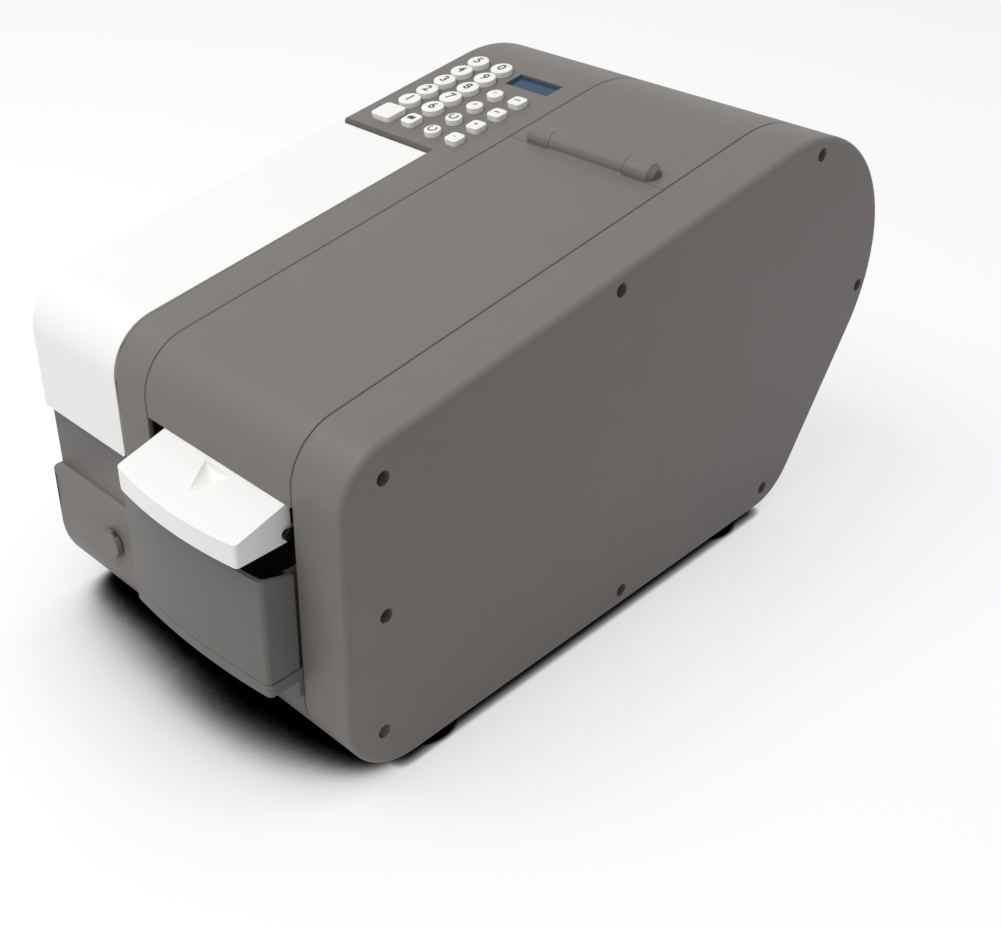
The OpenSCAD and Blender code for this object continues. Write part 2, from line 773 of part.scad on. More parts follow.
module left_housing() {
    bay_floor = lower_h + slide;
    deck_in = strip_x + wall;
    color(grey) difference() {
        union() {
            across(strip_x, left_seam) intersection() {
                side_skin(wall);
                above(bay_floor);
            }
            across(strip_x, deck_in) intersection() {
                side_outline(0);
                front_of(deck_y + wall);
                above(bay_floor);
            }
            across(upper_left, deck_in) intersection() {
                difference() {
                    side_skin(wall);
                    front_of(deck_y);
                }
                above(bay_floor);
            }
            across(upper_left, upper_left + wall) intersection() {
                difference() {
                    side_outline(0);
                    front_of(deck_y);
                }
                above(bay_floor);
            }
            across(upper_left, deck_in) intersection() {
                side_outline(0);
                above(bay_floor);
                translate([deck_y, 0]) square([wall, body_tall]);
            }
            bay();
            for (i = [0:2])
                rod(upper_left + wall / 2, channel_x[0] - plate_t, posts[i][0], posts[i][1], boss_r);
            for (i = [3, 4]) rod(strip_x, channel_x[0] - plate_t, posts[i][0], posts[i][1], boss_r);
            for (x = [bead_x[0] - seam - wall, bead_x[1] + seam]) bottle_lug(x);
            board_posts(-wall / 2, -deck_gap - wall);
        }
        rod(bead_x[0] - wall - 2 * seam, bead_x[1] + wall + 2 * seam, bead_y, bead_z, stub_r + run);
        key_holes();
        on_top(lcd_at[0], lcd_at[1]) translate([-lcd_w / 2, -lcd_l / 2, -2 * wall])
            cube([lcd_w, lcd_l, 3 * wall]);
    }
}

// Lug behind the bottle bay that carries one stub of the bottle cover
module bottle_lug(x) {
    r = 2 * stub_r;
    rod(x, x + wall, bead_y, bead_z, r);
    block([x, bead_y - r, bead_z - 2 * bead_r], [x + wall, bead_y + r, bead_z]);
    block([x, bead_y - r, bead_z - 2 * bead_r], [x + wall, deck_y + wall / 2, bead_z - bead_r - over]);
}

// The tub under the white cover that holds the water bottle
module bay() {
    left = upper_left + bay_inset;
    low = lower_h + slide;
    difference() {
        block([left, bay_inset, low], [strip_x + wall, deck_y + wall, bay_h]);
        block([left + wall, bay_inset + wall, low + wall], [strip_x, deck_y, bay_h + over]);
        translate([neck_at[0], neck_at[1], low - over]) cylinder(h = wall + 2 * over, r = neck_r / 2);
    }
}

module left_lower_cover() {
    t = -lower_proud;
    round_c = [t + lower_edge_r, lower_h - lower_edge_r];
    side_r = lower_edge_r - 1;
    vent_w = 2.5;
    vent_h = 26;
    vent_y = 120;
    vent_z = 30;
    color(grey) difference() {
        union() {
            intersection() {
                across(-half_w, left_seam) difference() {
                    side_outline(t);
                    above(lower_h);
                    translate([t - over, round_c[1]]) square([lower_edge_r + over, lower_edge_r + over]);
                }
                left_round(side_r);
            }
            intersection() {
                across(-half_w, left_seam) intersection() {
                    side_outline(t);
                    translate(round_c) circle(lower_edge_r);
                }
                left_round(side_r);
            }
        }
        across(-half_w + wall, left_seam + over) difference() {
            side_outline(t + wall);
            above(lower_h - wall);
        }
        block([upper_left + bay_inset + wall, bay_inset + 2 * wall, lower_h - 2 * wall],
            [left_seam + over, body_depth, lower_h + over]);
        translate([-half_w, inlet_at[0], inlet_at[1]]) socket_cut(inlet_size);
        translate([-half_w, switch_at[0], switch_at[1]]) socket_cut(switch_size);
        for (i = [0:9]) translate([-half_w - over, vent_y + i * 3 * vent_w, vent_z])
            cube([wall + 2 * over, vent_w, vent_h]);
        translate([-foot_x, foot_front_y, -lower_proud - over]) cylinder(h = 3 * wall, r = foot_r / 2);
        translate([-foot_x, foot_rear_y, -lower_proud - over]) cylinder(h = 3 * wall, r = foot_r / 2);
        translate([knob_x, wall, knob_z]) rotate([90, 0, 0]) cylinder(h = 3 * wall, r = spindle_r + run);
    }
    socket_panel();
}

// Keeps the inside of the lower cover's rounded top left edge
module left_round(r) {
    rotate([90, 0, 0]) translate([0, 0, -body_depth]) linear_extrude(2 * body_depth) {
        translate([-half_w, -body_tall]) square([body_w, body_tall + lower_h - r]);
        translate([-half_w + r, -body_tall]) square([body_w, body_tall + lower_h]);
        translate([-half_w + r, lower_h - r]) circle(r);
    }
}

// Opening through the lower cover for a socket with its flange
module socket_cut(size) {
    lip = 2 * (socket_lip + seam);
    translate([-over, -size[0] / 2 - lip / 2, -size[1] / 2 - lip / 2])
        cube([wall + 2 * over, size[0] + lip, size[1] + lip]);
}

// Recessed panel behind the socket openings
module socket_panel() {
    lip = 2 * (socket_lip + seam);
    color(grey) for (s = [[inlet_at, inlet_size], [switch_at, switch_size]]) difference() {
        translate([-half_w + wall / 2, s[0][0] - s[1][0] / 2 - lip, s[0][1] - s[1][1] / 2 - lip])
            cube([socket_sunk + wall / 2, s[1][0] + 2 * lip, s[1][1] + 2 * lip]);
        translate([-half_w - over, s[0][0] - s[1][0] / 2 - lip / 2, s[0][1] - s[1][1] / 2 - lip / 2])
            cube([socket_sunk + over, s[1][0] + lip, s[1][1] + lip]);
        translate([-half_w - over, s[0][0] - s[1][0] / 2, s[0][1] - s[1][1] / 2])
            cube([3 * socket_sunk, s[1][0], s[1][1]]);
    }
}

module bottle_cover() {
    right = strip_x - seam;
    inner = upper_left + bottle_cover_t;
    slot = wall + 2 * seam;
    slot_top = bead_z + 2 * stub_r + seam;
    color(white) {
        difference() {
            union() {
                across(upper_left, right) intersection() {
                    side_skin(bottle_cover_t);
                    front_of(bead_y);
                    above(bottle_cover_z);
                }
                across(upper_left, inner) intersection() {
                    side_outline(bottle_cover_t / 2);
                    front_of(bead_y);
                    above(bottle_cover_z);
                }
                block([upper_left, bead_y - over, bottle_cover_z], [inner, bead_y + bead_r - seam, bead_z]);
                rod(upper_left, right, bead_y, bead_z, bead_r);
            }
            for (x = [inner, bead_x[1]])
                block([x, bead_y - bead_r - over, bead_z - bead_r - over],
                    [x + slot, bead_y + bead_r + over, slot_top]);
        }
        rod(inner - over, bead_x[0] + over, bead_y, bead_z, stub_r);
        rod(bead_x[1] - over, right, bead_y, bead_z, stub_r);
    }
}

module water_bottle() {
    low = lower_h + slide + wall;
    color(clear_col) {
        translate([neck_at[0], neck_at[1] + bottle_l / 4, low + neck_h]) linear_extrude(bottle_h)
            rounded(bottle_w, bottle_l, bottle_round);
        translate([neck_at[0], neck_at[1], low]) cylinder(h = neck_h + over, r = neck_r);
    }
}

module front_knob() {
    color(grey) translate([knob_x, -lower_proud, knob_z]) rotate([90, 0, 0]) {
        translate([0, 0, slide]) cylinder(h = knob_out - slide, r = knob_r);
        translate([0, 0, -2 * wall]) cylinder(h = 3 * wall, r = spindle_r);
    }
}

/* Keypad */

// A key: cap through the deck, a thin flange under it and a plunger over the board
module key(r) {
    color(white) {
        translate([0, 0, -wall - slide]) cylinder(h = wall + slide + key_up, r = r);
        translate([0, 0, -wall - slide - flange_t]) cylinder(h = flange_t, r = r + flange_out);
        translate([0, 0, -stem_low]) cylinder(h = stem_low - wall, r = r / 2);
    }
}
module key_block(w, l) {
    flange = 2 * flange_out;
    color(white) {
        translate([0, 0, -wall - slide]) linear_extrude(wall + slide + key_up) rounded(w, l, key_round);
        translate([0, 0, -wall - slide - flange_t]) linear_extrude(flange_t)
            rounded(w + flange, l + flange, key_round);
        translate([0, 0, -stem_low]) cylinder(h = stem_low - wall, r = l / 4);
    }
}

module number_key(i) {
    on_top(key_x[i < 5 ? 0 : 1], number_y + (i % 5) * number_pitch) key(number_d / 2);
}
module round_key(i) {
    on_top(key_x[2], small_y + i * small_pitch) key(small_d / 2);
}
module square_key(i) {
    on_top(key_x[3], small_y + i * small_pitch) key_block(square_s, square_s);
}
module key_start() {
    on_top(key_x[0], start_y) key_block(start_s, start_s);
}
module key_feed() {
    on_top(key_x[1], start_y) key_block(feed_key_x, feed_key_y);
}

module keypad_board() {
    long = (board_y[1] - board_y[0]) / cos(top_slope);
    color(board_col) on_top(board_x[0], board_y[0]) translate([0, 0, -deck_gap - wall - board_t])
        cube([board_x[1] - board_x[0], long, board_t]);
}

module lcd_module() {
    border = 4;
    color(black) on_top(lcd_at[0], lcd_at[1])
        translate([-lcd_w / 2 - border, -lcd_l / 2 - border, -deck_gap - wall])
            cube([lcd_w + 2 * border, lcd_l + 2 * border, deck_gap - slide]);
}

module lcd_window() {
    color(glass_blue) on_top(lcd_at[0], lcd_at[1])
        translate([-lcd_w / 2 + run, -lcd_l / 2 + run, -wall - slide])
            cube([lcd_w - 2 * run, lcd_l - 2 * run, wall + slide - lcd_sunk]);
}

/* Tape exit and water tank */

module exit_cover() {
    back_y = wall;
    pin_boss = 3 * exit_pin_r;
    rise = (lid_low_z - seam - exit_front_z) / exit_reach;
    top_back = exit_front_z + rise * exit_reach;
    mid_x = (exit_x[0] + exit_x[1]) / 2;
    pocket_top = exit_front_z - wall;
    color(white) difference() {
        union() {
            intersection() {
                translate([0, 0, exit_low_z]) linear_extrude(lid_low_z - exit_low_z)
                    bowed(exit_x[0], exit_x[1], -exit_reach, back_y, exit_bow);
                across(exit_x[0], exit_x[1]) polygon([[-exit_reach - exit_bow, exit_low_z],
                    [back_y, exit_low_z], [back_y, top_back - seam], [0, top_back],
                    [-exit_reach - exit_bow, exit_front_z - rise * exit_bow]]);
            }
            rod(exit_x[0] + over, exit_x[1] - over, 0, exit_pin_z, pin_boss);
        }
        rod(exit_x[0] - over, exit_x[1] + over, 0, exit_pin_z, exit_pin_r + run);
        for (x = [exit_x[0] - over, exit_x[1] - 2 * over])
            rod(x, x + 3 * over, 0, exit_pin_z, exit_notch_r);
        for (x = [[exit_x[0] + 2 * wall, mid_x - wall], [mid_x + wall, exit_x[1] - 2 * wall]])
            block([x[0], -exit_reach + wall, exit_low_z - over], [x[1], -pin_boss - wall, pocket_top]);
        scoop(mid_x, exit_front_z + rise * (exit_reach - scoop_back - scoop_l));
    }
}

// Space of the finger groove: a cone lying on its side, its end wall towards the lid
module scoop(x, z) {
    intersection() {
        translate([x, -scoop_back - scoop_l, z + tuck]) rotate([scoop_angle - 90, 0, 0])
            translate([0, -scoop_tip_r, 0]) cylinder(h = 2 * scoop_l, r1 = scoop_tip_r,
                r2 = scoop_tip_r + 2 * scoop_l * tan(scoop_angle));
        block([x - scoop_l, -exit_reach, z - over], [x + scoop_l, -scoop_back, lid_low_z + over]);
    }
}

module exit_cover_pin() {
    color(steel) rod(channel_x[0] - plate_t, channel_x[1] + plate_t, 0, exit_pin_z, exit_pin_r);
}

module water_tank() {
    left = left_seam + seam;
    right = right_seam - 3 * seam;
    tub = [channel_x[0] + 2 * slide, channel_x[1] - 2 * slide];
    floor_z = tank_z + slide;
    back = -2 * slide;
    far = tank_reach + tank_bow;
    color(grey) difference() {
        union() {
            intersection() {
                translate([0, 0, floor_z]) linear_extrude(tank_lip_z - floor_z)
                    bowed(left, right, -tank_reach, back, tank_bow);
                across(left, right) polygon([[-far, floor_z], [back, floor_z], [back, tank_side_z],
                    [-tank_reach + tank_t, tank_lip_z], [-far, tank_lip_z]]);
            }
            block([tub[0], back - tank_t, floor_z], [tub[1], tub_y, tank_side_z]);
        }
        translate([0, 0, floor_z + tank_t]) linear_extrude(body_tall)
            bowed(left + tank_t, right - tank_t, -tank_reach + tank_t, back - tank_t, tank_bow);
        block([tub[0] + tank_t, back - 2 * tank_t, floor_z + tank_t],
            [tub[1] - tank_t, tub_y - tank_t, body_tall]);
    }
}

module brushes() {
    side = 6;
    low = tank_z + slide + tank_t;
    for (y = brush_y) {
        color(wood) block([channel_x[0] + side, y - brush_t / 2, low],
            [channel_x[1] - side, y + brush_t / 2, low + brush_back_h]);
        color(black) block([channel_x[0] + side + over, y - brush_t / 2 + over, low + brush_back_h],
            [channel_x[1] - side - over, y + brush_t / 2 - over, tape_z - over]);
    }
}

module heater_plate() {
    end = tub_y - over;
    low = tape_z + heater_gap;
    color(steel) block([channel_x[0], end - heater_l, low], [channel_x[1], end, low + heater_t]);
}

/* Tape drive and cutter */

module tape_guide() {
    lean = (guide_to - guide_from)[1] / (guide_to - guide_from)[0];
    color(steel) across(channel_x[0], channel_x[1]) polygon([guide_from, guide_to,
        guide_to - [0, guide_t], guide_from - [0, guide_t]]);
    color(steel) across(channel_x[0], channel_x[1]) translate(guide_from + [wall, wall * lean - guide_t])
        translate([0, -4 * guide_t]) square([guide_t, 4 * guide_t + guide_t / 2]);
}

module feed_roller() {
    gap = 8;
    color(rubber_col) rod(channel_x[0] + gap, channel_x[1] - gap, roller_y, feed_z, feed_r);
    color(steel) {
        rod(channel_x[0] - 2 * plate_t, belt_x + pulley_w, roller_y, feed_z, shaft_r);
        rod(belt_x, belt_x + pulley_w, roller_y, feed_z, pulley_r);
    }
}

module pressure_roller() {
    gap = 8;
    color(rubber_col) rod(channel_x[0] + gap, channel_x[1] - gap, roller_y, press_z, press_r);
    color(steel)
        rod(channel_x[0] - 2 * plate_t, channel_x[1] + 2 * plate_t, roller_y, press_z, thin_shaft_r);
}

module feed_motor() {
    post_x = channel_x[1] + plate_t;
    post_r = 3;
    bore_d = 5;
    color(steel) difference() {
        union() {
            rod(flange_x, flange_x + plate_t, motor_at[0], motor_at[1], flange_r);
            rod(flange_x, flange_x + motor_l, motor_at[0], motor_at[1], motor_r);
            for (a = [-108, -33, 42]) {
                p = polar(motor_at, flange_r - post_r - over, a);
                rod(post_x, flange_x + over, p[0], p[1], post_r);
            }
        }
        rod(flange_x - over, flange_x + bore_d, motor_at[0], motor_at[1], motor_shaft_r + run);
    }
}

module motor_pulley() {
    color(steel) {
        rod(belt_x, belt_x + pulley_w, motor_at[0], motor_at[1], motor_pulley_r);
        rod(belt_x, flange_x + wall, motor_at[0], motor_at[1], motor_shaft_r);
    }
}

// A filled belt loop round the two pulleys, g outside their faces
module loop(x0, x1, g) {
    a = [roller_y, feed_z];
    b = motor_at;
    d = b - a;
    dist = norm(d);
    aim = atan2(d[1], d[0]);
    open = acos((pulley_r - motor_pulley_r) / dist);
    ra = pulley_r + g;
    rb = motor_pulley_r + g;
    across(x0, x1) polygon([polar(a, ra - tuck, aim + open), polar(b, rb - tuck, aim + open),
        polar(b, rb - tuck, aim - open), polar(a, ra - tuck, aim - open)]);
    rod(x0, x1, a[0], a[1], ra);
    rod(x0, x1, b[0], b[1], rb);
}

module drive_belt() {
    start = belt_x + slide;
    end = belt_x + pulley_w - slide;
    color(black) difference() {
        loop(start, end, slide + belt_t);
        loop(start - over, end + over, slide);
    }
}

module fixed_blade() {
    y = blade_y + blade_t + slide;
    low = tape_z + over;
    color(steel) block([channel_x[0], y, low], [channel_x[1], y + anvil_t, low + anvil_h]);
}

module moving_blade() {
    side = 4;
    top = tape_z - blade_gap;
    mid = [(channel_x[0] + channel_x[1]) / 2, blade_y + blade_t / 2];
    color(steel) {
        across(channel_x[0] + side, channel_x[1] - side) polygon([[blade_y, top - blade_h],
            [blade_y, top - blade_t], [blade_y + blade_t, top], [blade_y + blade_t, top - blade_h]]);
        translate([mid[0], mid[1], top - 2 * blade_h]) cylinder(h = blade_h + over, r = plunger_r);
    }
}

module cutter_solenoid() {
    mid = [(channel_x[0] + channel_x[1]) / 2, blade_y + blade_t / 2];
    low = tape_z - blade_gap - 2 * blade_h - solenoid_drop;
    bar_y = [tub_y + plate_inset + over, mid[1] + solenoid_l / 2];
    color(black) difference() {
        union() {
            block([mid[0] - solenoid_w / 2, bar_y[0], low],
                [mid[0] + solenoid_w / 2, bar_y[1], low + solenoid_h]);
            block([channel_x[0], bar_y[0], low], [channel_x[1], bar_y[1], low + anvil_t]);
        }
        translate([mid[0], mid[1], low + anvil_t + over]) cylinder(h = solenoid_h, r = plunger_r + run);
    }
}

// One of the two rollers that carry the tape roll
module roll_roller(s) {
    y = roll_y + s * roll_roller_y;
    z = roll_z - roll_roller_drop;
    color(white) rod(channel_x[0] + over, channel_x[1] - over, y, z, roll_roller_r);
    color(steel) rod(channel_x[0] - 2 * plate_t, channel_x[1] + 2 * plate_t, y, z, thin_shaft_r);
}
module front_roll_roller() roll_roller(-1);
module rear_roll_roller() roll_roller(1);

/* Electrics */

module main_board() {
    low = plate_low;
    post_r = 3;
    inset = 6;
    color(board_col) translate([main_board_at[0], main_board_at[1], low + main_board_up])
        cube([main_board_size[0], main_board_size[1], board_t]);
    color(steel) for (x = [inset, main_board_size[0] - inset], y = [inset, main_board_size[1] - inset])
        translate([main_board_at[0] + x, main_board_at[1] + y, low]) cylinder(h = main_board_up, r = post_r);
}

module power_supply() {
    color(steel) translate([supply_at[0], supply_at[1], plate_low]) cube(supply_size);
}

// A socket body with its flange, its face turned to the left
module socket_body(at, size, depth) {
    translate([socket_face, at[0], at[1]]) {
        translate([0, -size[0] / 2 - socket_lip, -size[1] / 2 - socket_lip])
            cube([lip_t, size[0] + 2 * socket_lip, size[1] + 2 * socket_lip]);
        translate([0, -size[0] / 2 + run, -size[1] / 2 + run])
            cube([depth, size[0] - 2 * run, size[1] - 2 * run]);
    }
}

module power_inlet() {
    shell = 1.5;
    pin = [2, 4, 5];
    pin_places = [[-7, -2], [0, 3], [7, -2]];
    color(black) difference() {
        socket_body(inlet_at, inlet_size, inlet_d);
        translate([socket_face - over, inlet_at[0] - inlet_size[0] / 2 + shell,
            inlet_at[1] - inlet_size[1] / 2 + shell])
            cube([inlet_d - 2 * wall, inlet_size[0] - 2 * shell, inlet_size[1] - 2 * shell]);
    }
    color(steel) for (p = pin_places)
        translate([socket_face + pin[2], inlet_at[0] + p[0] - pin[0] / 2, inlet_at[1] + p[1] - pin[1] / 2])
            cube([inlet_d - wall - pin[2] - over, pin[0], pin[1]]);
}

module power_switch() {
    shell = 1;
    color(black) difference() {
        socket_body(switch_at, switch_size, switch_d);
        translate([socket_face - over, switch_at[0] - switch_size[0] / 2 + shell,
            switch_at[1] - switch_size[1] / 2 + shell])
            cube([switch_d / 2, switch_size[0] - 2 * shell, switch_size[1] - 2 * shell]);
    }
}

module power_rocker() {
    shell = 1.5;
    proud = 1;
    rocker_t = 4.5;
    rock_r = 60;
    w = switch_size[0] - 2 * shell;
    h = switch_size[1] - 2 * shell;
    color(black) translate([socket_face, switch_at[0], switch_at[1] - h / 2]) linear_extrude(h)
        intersection() {
            translate([-proud, -w / 2]) square([rocker_t, w]);
            translate([rock_r - proud, 0]) circle(rock_r, $fn = 360);
        }
}

place() base_pan();
place() rubber_feet();
place() front_base();
place() right_frame_plate();
place() left_frame_plate();
place() right_cover();
place() cover_screws();
place() left_housing();
place() left_lower_cover();
place() rear_cover();
place() hinge_pin();
place() lid();
place() bottle_cover();
place() water_bottle();
place() exit_cover();
place() exit_cover_pin();
place() water_tank();
place() brushes();
place() heater_plate();
place() tape_guide();
place() feed_roller();
place() pressure_roller();
place() feed_motor();
place() motor_pulley();
place() drive_belt();
place() fixed_blade();
place() moving_blade();
place() cutter_solenoid();
place() front_roll_roller();
place() rear_roll_roller();
place() main_board();
place() power_supply();
place() power_inlet();
place() power_switch();
place() power_rocker();
place() keypad_board();
place() lcd_module();
place() lcd_window();
place() front_knob();
place() key_start();
place() key_feed();
for (i = [0:9]) place() number_key(i);
for (i = [0:3]) place() round_key(i);
for (i = [0:3]) place() square_key(i);
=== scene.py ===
"""Looks of the electronic gummed tape dispenser: finished pieces, materials, camera and light."""

import json
import math

import bmesh
import bpy
from mathutils import Matrix, Vector, kdtree


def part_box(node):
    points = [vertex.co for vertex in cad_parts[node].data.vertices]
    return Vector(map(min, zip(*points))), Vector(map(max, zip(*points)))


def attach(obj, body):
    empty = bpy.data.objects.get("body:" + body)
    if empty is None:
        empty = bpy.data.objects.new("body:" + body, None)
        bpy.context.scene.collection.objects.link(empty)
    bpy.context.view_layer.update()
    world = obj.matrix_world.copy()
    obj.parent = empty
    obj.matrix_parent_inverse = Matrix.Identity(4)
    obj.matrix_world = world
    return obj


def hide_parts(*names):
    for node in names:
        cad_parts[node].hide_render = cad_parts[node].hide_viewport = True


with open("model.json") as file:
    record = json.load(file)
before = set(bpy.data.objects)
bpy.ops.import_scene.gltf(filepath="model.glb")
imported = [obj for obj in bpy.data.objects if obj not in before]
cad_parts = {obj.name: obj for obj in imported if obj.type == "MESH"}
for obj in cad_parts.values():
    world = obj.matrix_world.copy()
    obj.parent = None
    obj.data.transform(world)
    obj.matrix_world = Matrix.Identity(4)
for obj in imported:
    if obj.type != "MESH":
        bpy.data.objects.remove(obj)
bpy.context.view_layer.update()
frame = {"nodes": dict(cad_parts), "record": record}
nodes = frame["nodes"]

# Where the body's own frame lies in the counter frame, and its side outline's sizes, in metres
FRONT_Y = -0.230
FEET = 0.008
FRONT_H = 0.217
SLOPE = math.radians(8.6)
BACK_LEAN = math.radians(31)
FRONT_R = 0.034
TOE_R = 0.048
ROLL_Y = 0.3905
ROLL_R = 0.107
HEEL_R = 0.042
HALF_W = 0.140

# The seams between the covers, and the pieces they part
RIGHT_SEAM = 0.1016
LEFT_SEAM = -0.0234
STRIP_X = -0.0528
UPPER_LEFT = -0.1388
SEAM_GAP = 0.0004
SEAM_ROUND = 0.0010
WHITE_LOW = 0.1441
LOWER_H = 0.093
LOWER_PROUD = 0.002

# How strongly the world lights the object
SKY = 0.42
# How far the floor looks for the body above it: for its wide painted shadow, and for the painted
# dark line under the body
CONTACT = 0.16
EDGE_REACH = 0.0095


def greys(stops):
    return [(at, (level, level, level)) for at, level in stops]


# The floor's painted shade, from hidden to open sky
SHADE = greys(((0.29, 0.0), (0.34, 0.10), (0.39, 0.28), (0.45, 0.52), (0.52, 0.74), (0.63, 0.86),
               (0.72, 0.94), (1.0, 1.0)))
# The painted dark line's shade, from hidden to open
EDGE_SHADE = greys(((0.74, 0.0), (0.88, 0.4), (0.97, 1.0)))
# Fineness of moulded grain, in spots per metre
SPOTS = 1400.0


# Camera and light

def add_camera():
    data = bpy.data.cameras.new("camera")
    data.sensor_width = 36
    data.lens = 50.7485
    data.shift_x = 0.079718
    data.shift_y = -0.010236
    data.clip_end = 50
    camera = bpy.data.objects.new("camera", data)
    turn = Matrix(((0.701131, -0.388834, 0.597682), (0.713014, 0.388427, -0.583725),
                   (-0.005184, 0.835424, 0.549582)))
    camera.matrix_world = Matrix.Translation((0.56296, -0.589139, 0.600509)) @ turn.to_4x4()
    bpy.context.collection.objects.link(camera)
    bpy.context.scene.camera = camera


def add_lamp(name, place, aim, size, power):
    data = bpy.data.lights.new(name, "AREA")
    data.shape = "DISK"
    data.size = size
    data.energy = power
    lamp = bpy.data.objects.new(name, data)
    place = Vector(place)
    lamp.rotation_euler = (Vector(aim) - place).to_track_quat("-Z", "Y").to_euler()
    lamp.location = place
    bpy.context.collection.objects.link(lamp)


# Shader maths

class Value:
    """A socket that takes Python's operators, each adding a Math node."""

    def __init__(self, tree, socket):
        self.tree = tree
        self.socket = socket

    def math(self, operation, *others):
        node = self.tree.nodes.new("ShaderNodeMath")
        node.operation = operation
        for slot, value in zip(node.inputs, (self,) + others):
            if isinstance(value, Value):
                self.tree.links.new(value.socket, slot)
            else:
                slot.default_value = value
        return Value(self.tree, node.outputs[0])

    def __add__(self, other):
        return self.math("ADD", other)

    def __mul__(self, other):
        return self.math("MULTIPLY", other)

    def clamped(self):
        result = self.math("ADD", 0.0)
        result.socket.node.use_clamp = True
        return result


class Finish:
    """A material under construction."""

    def __init__(self, name, **constants):
        self.material = bpy.data.materials.new(name)
        self.material.use_nodes = True
        self.tree = self.material.node_tree
        self.shader = self.tree.nodes["Principled BSDF"]
        for key, value in constants.items():
            socket = self.shader.inputs[key.replace("_", " ")]
            socket.default_value = tuple(value) + (1.0,) if isinstance(value, tuple) else value
        self.place = self.add("ShaderNodeTexCoord").outputs["Object"]

    def add(self, kind, settings=None, **values):
        node = self.tree.nodes.new(kind)
        for key, value in (settings or {}).items():
            if key == "stops":
                ramp = node.color_ramp
                while len(ramp.elements) < len(value):
                    ramp.elements.new(0.5)
                for element, (at, colour) in zip(ramp.elements, value):
                    element.position = at
                    element.color = tuple(colour) + (1.0,)
            else:
                setattr(node, key, value)
        for key, value in values.items():
            slot = node.inputs[key.replace("_", " ")]
            self.feed(slot, value)
        return node

    def feed(self, slot, value):
        if isinstance(value, Value):
            self.tree.links.new(value.socket, slot)
        elif isinstance(value, bpy.types.NodeSocket):
            self.tree.links.new(value, slot)
        elif isinstance(value, tuple) and slot.type == "RGBA" and len(value) == 3:
            slot.default_value = value + (1.0,)
        else:
            slot.default_value = value

    def noise(self, scale, detail=2.0, roughness=0.5, stretch=None):
        place = self.place
        if stretch:
            place = self.add("ShaderNodeMapping", Vector=self.place, Scale=stretch).outputs[0]
        node = self.add("ShaderNodeTexNoise", Vector=place, Scale=scale, Detail=detail,
                        Roughness=roughness)
        return Value(self.tree, node.outputs["Fac"])

    def grains(self, scale):
        node = self.add("ShaderNodeTexVoronoi", Vector=self.place, Scale=scale)
        return Value(self.tree, node.outputs["Distance"])

    def blend(self, fac, a, b):
        node = self.add("ShaderNodeMix", {"data_type": "RGBA"})
        self.feed(node.inputs["Factor"], fac)
        self.feed(node.inputs[6], a)
        self.feed(node.inputs[7], b)
        return node.outputs[2]

    def colour(self, value):
        self.feed(self.shader.inputs["Base Color"], value)

    def rough(self, value):
        self.feed(self.shader.inputs["Roughness"], value)

    def bump(self, height, distance, strength=1.0):
        node = self.add("ShaderNodeBump", Height=height, Distance=distance, Strength=strength)
        self.feed(self.shader.inputs["Normal"], node.outputs[0])
        return self.material


def tone(red, green, blue):
    """A colour as a picture shows it, turned into the linear numbers a shader takes."""
    def straight(level):
        level = level / 255
        return level / 12.92 if level <= 0.04045 else ((level + 0.055) / 1.055) ** 2.4
    return (straight(red), straight(green), straight(blue))


def moulded_plastic(name, colour, shade, roughness, grain=0.00003, **constants):
    """Moulded plastic with a fine spark-eroded grain, faint colour drift and handling polish."""
    finish = Finish(name, **constants)
    drift = finish.noise(7.0, 3.0)
    dust = finish.noise(60.0, 4.0, 0.7)
    finish.colour(finish.blend((drift * 0.7 + dust * 0.3).clamped(), colour, shade))
    polish = finish.noise(11.0, 3.0, 0.6)
    finish.rough((polish * 0.12 + dust * 0.05 + (roughness - 0.08)).clamped())
    grains = finish.noise(SPOTS, 2.0, 0.6) + finish.grains(SPOTS * 0.6) * 0.5
    return finish.bump(grains, grain, 0.6)


def sheet_metal(name, colour, shade, roughness, along=(1.0, 60.0, 60.0)):
    """Rolled metal with fine lines along one direction and a few duller patches."""
    finish = Finish(name, Metallic=1.0)
    lines = finish.noise(90.0, 4.0, 0.7, along)
    patches = finish.noise(14.0, 3.0)
    finish.colour(finish.blend((patches * 0.6 + lines * 0.4).clamped(), colour, shade))
    finish.rough((lines * 0.18 + patches * 0.10 + (roughness - 0.12)).clamped())
    return finish.bump(lines, 0.00002, 0.5)


def rubber_finish(name, colour, shade, roughness=0.75, scale=900.0):
    finish = Finish(name)
    dust = finish.noise(40.0, 5.0, 0.7)
    finish.colour(finish.blend(dust, colour, shade))
    finish.rough((dust * 0.15 + (roughness - 0.08)).clamped())
    return finish.bump(finish.noise(scale, 3.0), 0.00004, 0.7)


def wood_finish(name):
    finish = Finish(name)
    fibres = finish.noise(60.0, 5.0, 0.65, (1.0, 18.0, 18.0))
    bands = finish.noise(14.0, 3.0, 0.5, (1.0, 8.0, 8.0))
    grain = (fibres * 0.6 + bands * 0.4).clamped()
    finish.colour(finish.blend(grain, tone(62, 48, 38), tone(42, 32, 26)))
    finish.rough((fibres * 0.2 + 0.5).clamped())
    return finish.bump(fibres, 0.00012, 0.6)


def board_finish(name):
    """Lacquered circuit board with faint copper tracks under the lacquer."""
    finish = Finish(name, Coat_Roughness=0.15)
    weave = finish.noise(400.0, 2.0)
    tracks = finish.add("ShaderNodeTexBrick", {"offset": 0.5}, Vector=finish.place, Scale=130.0,
                        Mortar_Size=0.05)
    copper = Value(finish.tree, tracks.outputs["Fac"])
    pattern = (copper * 0.5 + weave * 0.15).clamped()
    finish.colour(finish.blend(pattern, tone(34, 96, 60), tone(84, 134, 74)))
    finish.rough((weave * 0.15 + 0.3).clamped())
    return finish.bump(copper, 0.00003, 0.5)


